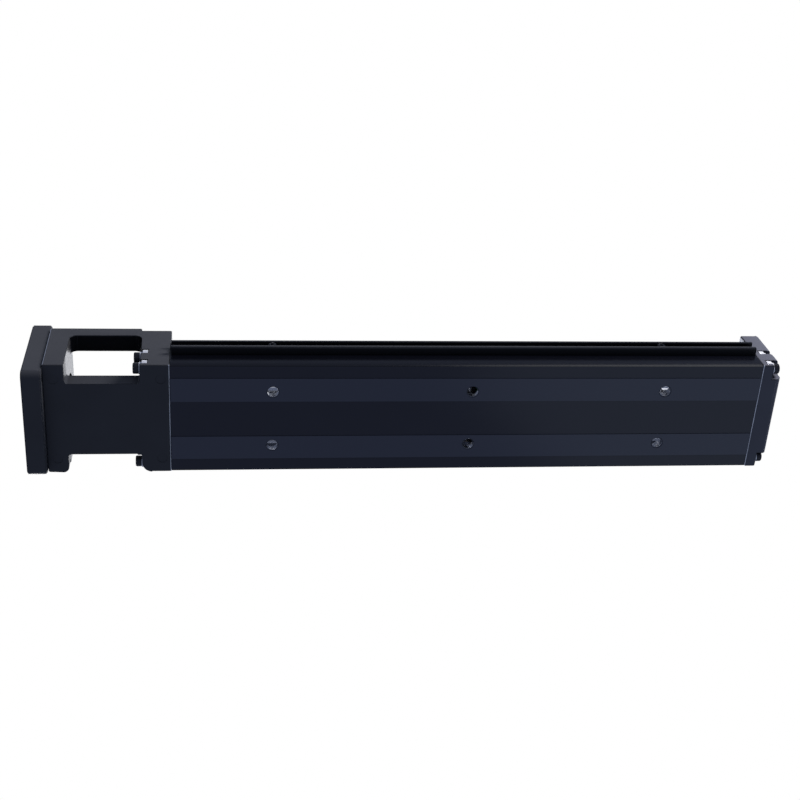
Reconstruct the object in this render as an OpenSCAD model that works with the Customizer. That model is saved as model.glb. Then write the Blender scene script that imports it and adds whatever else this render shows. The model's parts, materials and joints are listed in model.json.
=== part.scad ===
// Ball screw linear module, 60 mm class, with a U-shaped guide rail that is open
// at the top. The frame is +X from the motor end to the tail end, +Z up from the
// mounting face, and the origin is on the mounting face in the middle of the guide
// rail's six mounting holes.

/* [Guide rail] */
// Length of the guide rail
rail_len = 300; // [300:50:450]
// Width over the rail's sides
rail_w = 60; // [60:0.5:64]
// Height of the rail's arms above the mounting face
rail_h = 26.5; // [26:0.1:26.8]
// Thickness of the rail's floor
floor_t = 8; // [7:0.25:8.2]
// Width of the channel between the arms
channel_w = 37.6; // [37.2:0.2:37.8]
// Inner edge of each ground mounting land, from the centre line
land_in = 9.75; // [8:0.25:11]
// Outer edge of each ground mounting land, from the centre line
land_out = 22.5; // [20:0.25:24]
// Height of the lands above the relieved zones of the underside
land_h = 0.3; // [0.1:0.05:0.5]
// Inward lean of the relieved edge along each lower side
relief_y = 0.8; // [0.5:0.1:1.5]
// Height of the relieved edge
relief_z = 3.7; // [2:0.1:4]
// Chamfer along the arms' upper edges
arm_chamfer = 0.8; // [0.3:0.1:1]

/* [Mounting holes] */
// Pitch of the mounting holes along the rail
mount_pitch = 100; // [50:5:100]
// Distance between the two rows of mounting holes
mount_gauge = 30; // [26:1:34]
// Diameter of the mounting holes
mount_d = 5.5; // [4.5:0.1:6.5]
// Diameter of the counterbores in the channel's floor
mount_cb_d = 9.5; // [8:0.25:10]
// Depth of the counterbores
mount_cb_depth = 5.4; // [3:0.1:5.8]
// Chamfer around the mounting holes in the underside
mount_chamfer = 0.5; // [0.2:0.1:0.8]

/* [Motor bracket] */
// Inset of the bracket's and the end block's sides from the rail's sides
side_inset = 0.2; // [0:0.05:0.5]
// Gap between the mounting plane and the underside of the bracket and end block
block_lift = 0.2; // [0.1:0.05:0.4]
// Height of the bracket's top over the coupling
bracket_h = 42.5; // [42:0.1:43.2]
// Height of the bracket's lower step beside the rail
step_h = 40; // [38.5:0.1:41]
// Length of the lower step
step_len = 15; // [12:0.5:18]
// Thickness of the wall that carries the motor plate
motor_wall_t = 10.2; // [9:0.2:11]
// Length of the coupling chamber
chamber_len = 35.8; // [35.2:0.1:38]
// Thickness of the wall that carries the drive bearings
bearing_wall_t = 14.5; // [14.5:0.1:15.5]
// Top of the chamber's floor
chamber_floor_z = 9.5; // [7:0.25:11]
// Top edge of the side windows
window_top_z = 34; // [33:0.25:35.5]
// Corner radius of the side windows
window_r = 4; // [2:0.5:6]
// Width of the chamber's floor between the side notches
chamber_floor_w = 39; // [34:0.5:44]
// Width of the opening in the chamber's top
top_opening_w = 42; // [36:0.5:44]
// Corner radius of the notches beside the chamber's floor
notch_r = 1.5; // [0.5:0.25:3]
// Radius of the foot's corner on the plate side, away from the sensor rail
foot_r_motor = 3; // [1:0.25:4]
// Radius of the foot's corner on the rail side, away from the sensor rail
foot_r_rail = 5; // [2:0.25:6]
// Diameter of the shallow ejector marks under the bracket
mark_d = 5; // [3:0.25:6]
// Depth of the ejector marks
mark_depth = 0.2; // [0.1:0.05:0.4]

/* [Motor plate] */
// Side of the square motor plate
plate_w = 57; // [56.4:0.1:58]
// Thickness of the motor plate
plate_t = 9.5; // [8:0.25:10]
// Corner radius of the motor plate
plate_r = 3.5; // [2:0.25:5]
// Edge chamfer of the motor plate
plate_chamfer = 0.5; // [0.2:0.1:0.8]
// Diameter of the motor's pilot recess
pilot_d = 38.1; // [36:0.1:39]
// Depth of the pilot recess
pilot_depth = 2; // [1.5:0.1:3]
// Side of the square of motor bolts
motor_bolt_gauge = 47.14; // [46.4:0.02:48]
// Diameter of the tapped motor holes
motor_tap_d = 4.2; // [3.3:0.1:5]
// Clear bore through the plate and the motor wall
shaft_bore_d = 26; // [24:0.5:30]

/* [End block] */
// Thickness of the end block
end_t = 11; // [10.6:0.1:12]
// Height of the end block
end_h = 36.4; // [36:0.1:40]
// Radius along the four edges of the end block's outer face
end_edge_r = 3; // [1:0.25:4]

/* [Ball screw] */
// Height of the screw's axis above the mounting face
axis_z = 22.5; // [22.3:0.1:22.6]
// Nominal diameter of the screw
screw_d = 12; // [10:0.5:12.5]
// Diameter of the drive bearing seat
drive_seat_d = 8; // [8:0.5:9]
// Diameter of the coupling seat
coupling_seat_d = 6; // [5:0.5:7]
// Diameter of the tail bearing seat
tail_seat_d = 6; // [5:0.5:7]
// Distance from the rail's end to the screw's shoulder at each end
shoulder_in = 4; // [3.8:0.1:6]

/* [Drive bearings] */
// Outer diameter of the drive bearings
drive_brg_d = 19; // [18:0.5:19]
// Width of one drive bearing
drive_brg_w = 6; // [5.5:0.1:6]
// Outer diameter of the bearing retainer
retainer_d = 28; // [27:0.1:28]
// Thickness of the bearing retainer
retainer_t = 2.2; // [2:0.1:2.6]
// Bolt circle of the retainer's screws
retainer_pcd = 23.4; // [23.2:0.1:24]
// Length of the lock nut
lock_nut_len = 5; // [4:0.25:6]
// Outer diameter of the lock nut
lock_nut_d = 15; // [13:0.5:15]

/* [Tail bearing] */
// Outer diameter of the tail bearing
tail_brg_d = 15; // [13:0.5:16]
// Width of the tail bearing
tail_brg_w = 5; // [4:0.25:5.5]
// Thickness of the end block's wall in front of the tail bearing
tail_wall_t = 2; // [1.5:0.1:2.5]
// Thickness of the circlip
circlip_t = 0.8; // [0.6:0.1:1]

/* [Coupling] */
// Diameter of the coupling
coupling_d = 20; // [18:0.5:21]
// Length of the screw-side hub without its jaws
screw_hub_len = 13; // [12:0.5:14]
// Length of the motor-side hub without its jaws
motor_hub_len = 16; // [13:0.5:18]
// Length of the coupling's spider
spider_len = 9; // [7:0.5:10]
// Gap between the lock nut and the coupling
coupling_gap = 2; // [1:0.25:3]
// Bore of the motor-side hub
motor_shaft_d = 6.35; // [5:0.05:8]
// Width of the slit in each hub
hub_slit = 1; // [0.6:0.1:1.6]

/* [Carriage] */
// Length of the carriage's steel block
block_len = 62; // [60:1:70]
// Thickness of each recirculation cap
cap_t = 7; // [5:0.25:8]
// Thickness of each end seal
seal_t = 2; // [1:0.25:2.5]
// Place of the carriage's middle, from the middle of the rail
carriage_at = 41; // [-100:1:100]
// Width of the block between the arms
guide_w = 36.8; // [36.4:0.1:37]
// Width of the block above the arms and of the table
carriage_w = 43; // [41:0.5:45]
// Height of the block's top face
block_top_z = 36; // [35.4:0.1:37]
// Height of the carriage table's top face
table_top_z = 45; // [44.5:0.1:47]
// Length of the carriage table
table_len = 56; // [54:1:60]
// Chamfer along the table's upper edges
table_chamfer = 1; // [0.5:0.25:1.5]
// Spacing of the payload holes along the rail
payload_pitch = 30; // [24:1:34]
// Spacing of the payload holes across the rail
payload_gauge = 30; // [26:1:32]
// Diameter of the tapped payload holes
payload_tap_d = 4.2; // [3.3:0.1:5]
// Running gap between the block and the rail
guide_gap = 0.8; // [0.6:0.05:1]

/* [Ball nut] */
// Outer diameter of the ball nut
nut_d = 22; // [20:0.5:22.4]
// Length of the ball nut
nut_len = 36; // [30:1:44]
// Radial clearance of the screw in the ball nut
nut_clear = 0.08; // [0.05:0.01:0.1]

/* [Linear balls] */
// Diameter of the balls between the rail and the block
ball_d = 3.175; // [3:0.025:3.3]
// Height of the lower ball row
row_low_z = 14; // [13.5:0.1:14.5]
// Height of the upper ball row
row_high_z = 21.5; // [20.8:0.1:22]
// Clearance of the balls to the rail's grooves
ball_clear = 0.3; // [0.25:0.01:0.35]

/* [Sensor rail] */
// Thickness of the sensor rail across the module
sensor_t = 3.9; // [3.5:0.1:5]
// Height of the sensor rail
sensor_h = 8.2; // [7:0.1:9]
// Lower edge of the sensor rail
sensor_z = 11.8; // [11:0.1:12.5]
// Height of the lip under the sensor groove
sensor_low_lip = 2.3; // [2:0.1:2.8]
// Height of the lip over the sensor groove
sensor_top_lip = 1.6; // [1:0.1:1.8]
// Depth of the sensor groove
sensor_groove = 2.6; // [2:0.1:3]
// Inset of the sensor rail from each end of the guide rail
sensor_inset = 0.3; // [0.2:0.1:1]

/* [Fasteners] */
// Height of the lower end screws above the mounting face
end_screw_low_z = 4.5; // [4.4:0.1:5]
// Height of the upper end screws above the mounting face
end_screw_high_z = 16; // [15.5:0.1:18]
// Distance of the end screws from the rail's sides
end_screw_side = 4; // [3.8:0.1:4.6]
// Radius of the pockets around the end screws' heads
end_pocket_r = 4.15; // [3.9:0.05:4.25]
// Depth of the pockets in the bracket
bracket_pocket = 3.5; // [2.5:0.1:4]
// Depth of the pockets in the end block
end_pocket = 8; // [7:0.1:8.3]
// Depth of the corner notch below each low pocket of the end block
end_notch = 5; // [3:0.1:6]
// Thickness of the spacer under each end screw's spring washer
spacer_t = 2.5; // [1:0.1:2.6]
// Distance of the plate screws from the centre line
plate_screw_y = 22.5; // [22.2:0.1:23.2]
// Height of the plate screws above and below the axis
plate_screw_dz = 12; // [11:0.1:13]
// Distance of the table screws from the middle of the table along the rail
table_screw_x = 22; // [21:0.25:23]
// Distance of the table screws from the centre line
table_screw_y = 14; // [13:0.1:15]

/* [Bumpers] */
// Length of the rubber bumpers
bumper_len = 9; // [5:0.5:12]
// Gap left to a bumper at each end of the stroke
bumper_gap = 1; // [0.5:0.25:2]
// Diameter of the rubber bumpers
bumper_d = 7; // [6:0.25:7.5]
// Distance of the bumpers from the centre line
bumper_y = 17; // [16.8:0.1:17.4]
// Height of the bumpers above the mounting face
bumper_z = 31; // [30.6:0.1:31.4]

/* [Hidden] */

$fn = 64;
eps = 0.01;          // overrun of a cut past the face it opens
fit = 0.01;          // radial gap of a seated ring or pin
thin = 0.1;          // gap between seated neighbours that are curved

// Socket head screws: [thread diameter, head diameter, head height, key width, tapping diameter]
m2 = [2, 3.8, 2, 1.5, 1.6];
m25 = [2.5, 4.5, 2.5, 2, 2.05];
m3 = [3, 5.5, 3, 2.5, 2.5];
m4 = [4, 7, 4, 3, 3.3];
thread_gap = 0.05;   // radial gap between a screw's plain shank and its hole

notch_w = 2 * end_pocket_r - 0.1;
spacer_od = 7.8;
spring_washer_od = 6;
spring_washer_t = 1.4;
washer_stack = spacer_t + spring_washer_t;
block_w = rail_w - 2 * side_inset;
end_screw_y = rail_w / 2 - end_screw_side;

// Places along X
bracket_len = motor_wall_t + chamber_len + bearing_wall_t;
plate_x = -bracket_len - plate_t;
chamber_x0 = -bracket_len + motor_wall_t;
chamber_x1 = -bearing_wall_t;
end_x = rail_len + end_t;
mid_x = rail_len / 2;
mount_first = mid_x - floor((mid_x - 20) / mount_pitch) * mount_pitch;

// Drive end of the screw
drive_brg_x0 = -2 * drive_brg_w - thin;
lock_nut_x1 = drive_brg_x0;
lock_nut_x0 = lock_nut_x1 - lock_nut_len;
screw_hub_x1 = lock_nut_x0 - coupling_gap;
screw_hub_x0 = screw_hub_x1 - screw_hub_len;
spider_x0 = screw_hub_x0 - spider_len;
motor_hub_x0 = spider_x0 - motor_hub_len;
drive_shaft_end = screw_hub_x0 + 1;
drive_shoulder = shoulder_in;
bearing_lip_r = lock_nut_d / 2 + 0.4;

// Tail end of the screw
tail_shoulder = rail_len - shoulder_in;
tail_brg_x0 = rail_len + tail_wall_t;
tail_brg_x1 = tail_brg_x0 + tail_brg_w;
circlip_x0 = tail_brg_x1 + thin;
tail_shaft_end = circlip_x0 + circlip_t + 1;
circlip_groove = 0.4;

// Carriage
carriage_len = block_len + 2 * cap_t + 2 * seal_t;
car_x = mid_x + carriage_at;
block_x0 = car_x - block_len / 2;
block_x1 = car_x + block_len / 2;
nut_x0 = car_x - nut_len / 2;
nut_x1 = car_x + nut_len / 2;
block_z0 = floor_t + guide_gap;
shelf_z = rail_h + guide_gap;
ball_y = (channel_w + guide_w) / 4;
ball_r = ball_d / 2;
rail_groove_r = ball_r + ball_clear;
block_groove_r = ball_r + 0.05;
return_y = 14.2;     // distance of the ball return channels from the centre line
return_r = ball_r + 0.2;
return_cap_t = 4;
cap_inset = 0.4;     // how far caps and seals stay inside the block's outline
cap_screw_y = 11;
cap_screw_z = 12;
stroke = rail_len - carriage_len - 2 * (bumper_len + bumper_gap);
bumper_pin_r = 1.5;
bumper_pin_len = 4;

// Sensor rail
sensor_y0 = -rail_w / 2 - sensor_t;
sensor_groove_z = sensor_z + sensor_low_lip;
sensor_groove_h = sensor_h - sensor_low_lip - sensor_top_lip;
sensor_screw_z = sensor_groove_z + sensor_groove_h / 2;
sensor_head = [2, 4.1, 2.3, 1.5, 1.6];
sensor_web = sensor_t - sensor_groove;
sensor_screws = 2;
sensor_screw_end = 50;

module in_frame() {
    translate([-mid_x, 0, 0]) children();
}

module along_x(x0, x1) {
    translate([x0, 0, 0]) rotate([90, 0, 90]) linear_extrude(x1 - x0) children();
}

module rod_x(r, x0, x1, y = 0, z = axis_z) {
    translate([x0, y, z]) rotate([0, 90, 0]) cylinder(r = r, h = x1 - x0);
}

module ring_x(r_out, r_in, x0, x1, y = 0, z = axis_z) {
    difference() {
        rod_x(r_out, x0, x1, y, z);
        rod_x(r_in, x0 - eps, x1 + eps, y, z);
    }
}

module box(x, y, z) {
    translate([x[0], y[0], z[0]]) cube([x[1] - x[0], y[1] - y[0], z[1] - z[0]]);
}

module mirror_y() {
    children();
    mirror([0, 1, 0]) children();
}

// A rectangle with round corners, from true arcs
module round_rect(w, h, r) {
    square([w - 2 * r, h], center = true);
    square([w, h - 2 * r], center = true);
    for (sx = [-1, 1], sy = [-1, 1]) {
        translate([sx * (w / 2 - r), sy * (h / 2 - r)]) circle(r = r);
    }
}

// A socket head screw that points along -Z, with the underside of its head at z = 0
module cap_screw(size, len) {
    difference() {
        union() {
            cylinder(d = size[1], h = size[2]);
            translate([0, 0, -len]) cylinder(r = size[4] / 2 - thread_gap, h = len + eps);
        }
        translate([0, 0, size[2] / 2]) cylinder(d = size[3] * 1.15, h = size[2], $fn = 6);
    }
}

// ---- guide rail -------------------------------------------------------------

module rail_section() {
    half = rail_w / 2;
    c = arm_chamfer;
    difference() {
        polygon([
            [-half, relief_z], [-half + relief_y, land_h], [-land_out, land_h],
            [-land_out, 0], [-land_in, 0], [-land_in, land_h], [land_in, land_h],
            [land_in, 0], [land_out, 0], [land_out, land_h], [half - relief_y, land_h],
            [half, relief_z], [half, rail_h - c], [half - c, rail_h],
            [channel_w / 2 + c, rail_h], [channel_w / 2, rail_h - c],
            [channel_w / 2, floor_t], [-channel_w / 2, floor_t],
            [-channel_w / 2, rail_h - c], [-channel_w / 2 - c, rail_h],
            [-half + c, rail_h], [-half, rail_h - c]
        ]);
        for (s = [-1, 1], z = [row_low_z, row_high_z]) {
            translate([s * ball_y, z]) circle(r = rail_groove_r);
        }
    }
}

module mount_hole() {
    translate([0, 0, -1]) cylinder(d = mount_d, h = floor_t + 2);
    translate([0, 0, floor_t - mount_cb_depth]) cylinder(d = mount_cb_d, h = mount_cb_depth + 1);
    translate([0, 0, -1])
        cylinder(r1 = mount_d / 2 + mount_chamfer + 1, r2 = mount_d / 2, h = mount_chamfer + 1);
}

module guide_rail() {
    tap_depth = 9;
    in_frame() color([0.11, 0.115, 0.14]) difference() {
        along_x(0, rail_len) rail_section();
        for (x = [mount_first : mount_pitch : rail_len - 20], s = [-1, 1]) {
            translate([x, s * mount_gauge / 2, 0]) mount_hole();
        }
        for (s = [-1, 1], z = [end_screw_low_z, end_screw_high_z]) {
            rod_x(m3[4] / 2, -1, tap_depth, s * end_screw_y, z);
            rod_x(m3[4] / 2, rail_len - tap_depth, rail_len + 1, s * end_screw_y, z);
        }
        for (i = [0 : sensor_screws - 1]) {
            translate([sensor_screw_x(i), -rail_w / 2 - 1, sensor_screw_z])
                rotate([-90, 0, 0]) cylinder(d = sensor_head[4], h = 6);
        }
    }
}

function sensor_screw_x(i) =
    sensor_screw_end + i * (rail_len - 2 * sensor_screw_end) / (sensor_screws - 1);

// ---- sensor rail ------------------------------------------------------------

module sensor_rail() {
    edge = 0.5;
    in_frame() color([0.13, 0.13, 0.15]) difference() {
        along_x(sensor_inset, rail_len - sensor_inset) polygon([
            [-rail_w / 2, sensor_z], [-rail_w / 2, sensor_z + sensor_h],
            [sensor_y0, sensor_z + sensor_h],
            [sensor_y0, sensor_groove_z + sensor_groove_h],
            [sensor_y0 + sensor_groove, sensor_groove_z + sensor_groove_h],
            [sensor_y0 + sensor_groove, sensor_groove_z],
            [sensor_y0, sensor_groove_z],
            [sensor_y0, sensor_z + edge], [sensor_y0 + edge, sensor_z]
        ]);
        for (i = [0 : sensor_screws - 1]) {
            translate([sensor_screw_x(i), sensor_y0 - 1, sensor_screw_z])
                rotate([-90, 0, 0]) cylinder(d = sensor_head[0] + 0.2, h = sensor_t + 2);
        }
    }
}

module sensor_rail_screws() {
    in_frame() color([0.55, 0.55, 0.57]) for (i = [0 : sensor_screws - 1]) {
        translate([sensor_screw_x(i), sensor_y0 + sensor_groove, sensor_screw_z])
            rotate([90, 0, 0]) cap_screw(sensor_head, sensor_web + 4);
    }
}

// ---- motor bracket ----------------------------------------------------------

module end_screw_places(x) {
    for (s = [-1, 1], z = [end_screw_low_z, end_screw_high_z]) {
        translate([x, s * end_screw_y, z]) children();
    }
}

module plate_screw_places(x) {
    for (s = [-1, 1], t = [-1, 1]) {
        translate([x, s * plate_screw_y, axis_z + t * plate_screw_dz]) children();
    }
}

module retainer_places(x) {
    for (a = [45 : 90 : 315]) {
        translate([x, retainer_pcd / 2 * cos(a), axis_z + retainer_pcd / 2 * sin(a)]) children();
    }
}

module bumper_places(x) {
    for (s = [-1, 1]) translate([x, s * bumper_y, bumper_z]) children();
}

// Opening of the side windows above the chamber's floor, seen along Y
module window_outline() {
    w = chamber_len;
    h = window_top_z - chamber_floor_z;
    square([w, h - window_r]);
    translate([window_r, 0]) square([w - 2 * window_r, h]);
    for (x = [window_r, w - window_r]) translate([x, h - window_r]) circle(r = window_r);
}

// Cut that rounds the corner of a foot; its corner is at the origin
module foot_corner(r) {
    linear_extrude(chamber_floor_z + 1) difference() {
        translate([-1, -r]) square([r + 1, r + 1]);
        translate([r, -r]) circle(r = r);
        translate([0, -r - 1]) square([r, 1]);
    }
}

module motor_bracket() {
    half = block_w / 2;
    notch_w = half - chamber_floor_w / 2 + notch_r + 1;
    in_frame() color([0.12, 0.125, 0.15]) difference() {
        union() {
            box([-bracket_len, -step_len], [-half, half], [block_lift, bracket_h]);
            box([-step_len - eps, 0], [-half, half], [block_lift, step_h]);
        }
        translate([chamber_x0, half + 1, chamber_floor_z])
            rotate([90, 0, 0]) linear_extrude(block_w + 2) window_outline();
        box([chamber_x0, chamber_x1], [-top_opening_w / 2, top_opening_w / 2],
            [window_top_z - window_r, bracket_h + 1]);
        mirror_y() translate([(chamber_x0 + chamber_x1) / 2, -chamber_floor_w / 2 - notch_w / 2, -1])
            linear_extrude(chamber_floor_z + 1 + eps) round_rect(chamber_len, notch_w, notch_r);
        translate([chamber_x0, half, -1]) mirror([1, 0]) foot_corner(foot_r_motor);
        translate([chamber_x1, half, -1]) foot_corner(foot_r_rail);
        rod_x(shaft_bore_d / 2, -bracket_len - 1, chamber_x0 + 1);
        rod_x(drive_brg_d / 2 + fit, drive_brg_x0, 1);
        rod_x(bearing_lip_r, chamber_x1 - 1, 0);
        end_screw_places(chamber_x1 - 1) rotate([0, 90, 0]) {
            cylinder(d = m3[0] + 0.4, h = bearing_wall_t + 2);
            cylinder(r = end_pocket_r, h = bracket_pocket + 1);
        }
        plate_screw_places(-bracket_len - 1) rotate([0, 90, 0]) cylinder(d = m4[4], h = 9);
        retainer_places(-6) rotate([0, 90, 0]) cylinder(d = m2[4], h = 7);
        bumper_places(-bumper_pin_len - 0.3) rotate([0, 90, 0]) cylinder(r = bumper_pin_r + fit, h = 5);
        for (x = [-bracket_len + 5, -4.5], s = [-1, 1]) {
            translate([x, s * 22, block_lift - 1]) cylinder(d = mark_d, h = mark_depth + 1);
        }
    }
}

module bracket_screws() {
    in_frame() color([0.10, 0.10, 0.11]) end_screw_places(chamber_x1 + bracket_pocket - washer_stack)
        rotate([0, -90, 0]) cap_screw(m3, bearing_wall_t - bracket_pocket + washer_stack + 8);
}

// A spacer and a spring washer, stacked along +Z from the surface they press on
module washer_pair() {
    difference() {
        cylinder(d = spacer_od, h = spacer_t);
        translate([0, 0, -1]) cylinder(d = m3[0] + 0.2, h = spacer_t + 2);
    }
    translate([0, 0, spacer_t]) difference() {
        cylinder(d = spring_washer_od, h = spring_washer_t);
        translate([0, 0, -1]) cylinder(d = m3[0] + 0.2, h = spring_washer_t + 2);
        translate([0, -0.3, -1]) cube([spring_washer_od, 0.6, spring_washer_t + 2]);
    }
}

module bracket_washers() {
    in_frame() color([0.45, 0.45, 0.47]) end_screw_places(chamber_x1 + bracket_pocket)
        rotate([0, -90, 0]) washer_pair();
}

// ---- motor plate ------------------------------------------------------------

module motor_plate() {
    c = plate_chamfer;
    in_frame() color([0.12, 0.125, 0.15]) difference() {
        translate([0, 0, axis_z]) {
            along_x(plate_x + c, plate_x + plate_t - c) round_rect(plate_w, plate_w, plate_r);
            along_x(plate_x, plate_x + plate_t)
                round_rect(plate_w - 2 * c, plate_w - 2 * c, plate_r - c / 2);
        }
        rod_x(pilot_d / 2 + 0.05, plate_x - 1, plate_x + pilot_depth);
        rod_x(shaft_bore_d / 2, plate_x - 1, plate_x + plate_t + 1);
        for (s = [-1, 1], t = [-1, 1]) {
            rod_x(motor_tap_d / 2, plate_x - 1, plate_x + plate_t + 1,
                s * motor_bolt_gauge / 2, axis_z + t * motor_bolt_gauge / 2);
        }
        plate_screw_places(plate_x - 1) rotate([0, 90, 0]) {
            cylinder(d = m4[0] + 0.4, h = plate_t + 2);
            cylinder(d = m4[1] + 0.4, h = m4[2] + 1.3);
        }
    }
}

module plate_screws() {
    head_x = plate_x + m4[2] + 0.3;
    in_frame() color([0.10, 0.10, 0.11]) plate_screw_places(head_x)
        rotate([0, -90, 0]) cap_screw(m4, plate_t - m4[2] - 0.3 + 7);
}

// ---- end block --------------------------------------------------------------

// A block's outline with its far corners rounded; x runs through its thickness
module rounded_end(w) {
    square([end_t - end_edge_r, w]);
    translate([0, end_edge_r]) square([end_t, w - 2 * end_edge_r]);
    for (y = [end_edge_r, w - end_edge_r]) translate([end_t - end_edge_r, y]) circle(r = end_edge_r);
}

module end_block_blank() {
    intersection() {
        translate([rail_len, -block_w / 2, block_lift])
            linear_extrude(end_h - block_lift) rounded_end(block_w);
        translate([rail_len, block_w / 2, block_lift]) rotate([90, 0, 0])
            linear_extrude(block_w) rounded_end(end_h - block_lift);
    }
}

module end_block() {
    in_frame() color([0.14, 0.145, 0.17]) difference() {
        end_block_blank();
        rod_x(tail_seat_d / 2 + 1.5, rail_len - 1, end_x);
        rod_x(tail_brg_d / 2 + fit, tail_brg_x0, end_x + 1);
        end_screw_places(rail_len - 1) rotate([0, 90, 0]) cylinder(d = m3[0] + 0.4, h = end_t + 2);
        end_screw_places(end_x - end_pocket) rotate([0, 90, 0])
            cylinder(r = end_pocket_r, h = end_pocket + 1);
        for (s = [-1, 1]) translate([end_x - end_notch, s * end_screw_y - notch_w / 2, -1])
            cube([end_notch + 1, notch_w, end_screw_low_z + 1]);
        bumper_places(rail_len - 1) rotate([0, 90, 0])
            cylinder(r = bumper_pin_r + fit, h = bumper_pin_len + 1.3);
    }
}

module end_block_screws() {
    in_frame() color([0.10, 0.10, 0.11]) end_screw_places(end_x - end_pocket + washer_stack)
        rotate([0, 90, 0]) cap_screw(m3, end_t - end_pocket + washer_stack + 8);
}

module end_block_washers() {
    in_frame() color([0.45, 0.45, 0.47]) end_screw_places(end_x - end_pocket)
        rotate([0, 90, 0]) washer_pair();
}

// ---- ball screw and its bearings ---------------------------------------------

module ball_screw() {
    c = 0.6;
    in_frame() color([0.72, 0.72, 0.74]) difference() {
        translate([0, 0, axis_z]) rotate([0, 90, 0]) rotate_extrude() polygon([
            [0, drive_shaft_end],
            [coupling_seat_d / 2 - c / 2, drive_shaft_end],
            [coupling_seat_d / 2, drive_shaft_end + c],
            [coupling_seat_d / 2, screw_hub_x1 + coupling_gap / 2],
            [drive_seat_d / 2, screw_hub_x1 + coupling_gap / 2],
            [drive_seat_d / 2, drive_shoulder],
            [screw_d / 2 - c, drive_shoulder],
            [screw_d / 2, drive_shoulder + c],
            [screw_d / 2, tail_shoulder - c],
            [screw_d / 2 - c, tail_shoulder],
            [tail_seat_d / 2, tail_shoulder],
            [tail_seat_d / 2, circlip_x0],
            [tail_seat_d / 2 - circlip_groove, circlip_x0],
            [tail_seat_d / 2 - circlip_groove, circlip_x0 + circlip_t],
            [tail_seat_d / 2, circlip_x0 + circlip_t],
            [tail_seat_d / 2, tail_shaft_end - c],
            [tail_seat_d / 2 - c / 2, tail_shaft_end],
            [0, tail_shaft_end]
        ]);
    }
}

// One half of a ball bearing as a ring about X, with a ball groove around it
module bearing_ring(x0, w, r_in, r_out, race_r, groove_r) {
    translate([x0, 0, axis_z]) rotate([0, 90, 0]) rotate_extrude() difference() {
        translate([r_in, 0]) square([r_out - r_in, w]);
        translate([race_r, w / 2]) circle(r = groove_r);
    }
}

function race_r(bore_d, out_d) = (bore_d + out_d) / 4;
function race_ball_r(bore_d, out_d) = (out_d - bore_d) / 8;
function ring_wall(bore_d, out_d) = (out_d - bore_d) / 2 * 0.27;

module outer_ring(x0, w, bore_d, out_d) {
    bearing_ring(x0, w, out_d / 2 - ring_wall(bore_d, out_d), out_d / 2,
        race_r(bore_d, out_d), race_ball_r(bore_d, out_d) + thin);
}

module inner_ring(x0, w, bore_d, out_d) {
    bearing_ring(x0, w, bore_d / 2 + fit, bore_d / 2 + ring_wall(bore_d, out_d),
        race_r(bore_d, out_d), race_ball_r(bore_d, out_d) + thin);
}

module bearing_balls(x0, w, bore_d, out_d, count) {
    for (i = [0 : count - 1]) {
        a = i * 360 / count;
        translate([x0 + w / 2, race_r(bore_d, out_d) * cos(a), axis_z + race_r(bore_d, out_d) * sin(a)])
            sphere(r = race_ball_r(bore_d, out_d), $fn = 24);
    }
}

module drive_bearing_places() {
    for (i = [0, 1]) translate([drive_brg_x0 + i * drive_brg_w, 0, 0]) children();
}

module drive_bearing_outer_rings() {
    in_frame() color([0.7, 0.7, 0.72]) drive_bearing_places()
        outer_ring(0, drive_brg_w - fit, drive_seat_d, drive_brg_d);
}

module drive_bearing_inner_rings() {
    in_frame() color([0.66, 0.66, 0.68]) drive_bearing_places()
        inner_ring(0, drive_brg_w - fit, drive_seat_d, drive_brg_d);
}

module drive_bearing_balls() {
    in_frame() color([0.85, 0.85, 0.86]) drive_bearing_places()
        bearing_balls(0, drive_brg_w - fit, drive_seat_d, drive_brg_d, 9);
}

module bearing_retainer() {
    in_frame() color([0.62, 0.62, 0.64]) difference() {
        rod_x(retainer_d / 2, 0, retainer_t);
        rod_x(screw_d / 2 + 0.3, -1, retainer_t + 1);
        retainer_places(-1) rotate([0, 90, 0]) cylinder(d = m2[0] + 0.2, h = retainer_t + 2);
    }
}

module retainer_screws() {
    in_frame() color([0.10, 0.10, 0.11]) retainer_places(retainer_t)
        rotate([0, 90, 0]) cap_screw(m2, retainer_t + 5);
}

module bearing_spacer() {
    in_frame() color([0.6, 0.6, 0.62])
        ring_x(screw_d / 2 - 0.2, drive_seat_d / 2 + fit, -thin, drive_shoulder);
}

module lock_nut() {
    slot = 2.4;
    in_frame() color([0.2, 0.2, 0.22]) difference() {
        ring_x(lock_nut_d / 2, drive_seat_d / 2 + fit, lock_nut_x0, lock_nut_x1);
        for (a = [0 : 90 : 270]) {
            translate([lock_nut_x0 - 1, 0, axis_z]) rotate([a, 0, 0])
                translate([0, -slot / 2, lock_nut_d / 2 - 1]) cube([2.5, slot, 3]);
        }
    }
}

module tail_bearing_outer_ring() {
    in_frame() color([0.7, 0.7, 0.72]) outer_ring(tail_brg_x0, tail_brg_w, tail_seat_d, tail_brg_d);
}

module tail_bearing_inner_ring() {
    in_frame() color([0.66, 0.66, 0.68]) inner_ring(tail_brg_x0, tail_brg_w, tail_seat_d, tail_brg_d);
}

module tail_bearing_balls() {
    in_frame() color([0.85, 0.85, 0.86]) bearing_balls(tail_brg_x0, tail_brg_w, tail_seat_d, tail_brg_d, 8);
}

module tail_circlip() {
    in_frame() color([0.3, 0.3, 0.32]) difference() {
        ring_x(tail_seat_d / 2 + 1, tail_seat_d / 2 - circlip_groove + fit,
            circlip_x0 + fit, circlip_x0 + circlip_t - fit);
        box([circlip_x0 - 1, circlip_x0 + circlip_t + 1], [-1.2, 1.2], [axis_z, axis_z + tail_seat_d]);
    }
}

// ---- coupling ---------------------------------------------------------------

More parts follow.
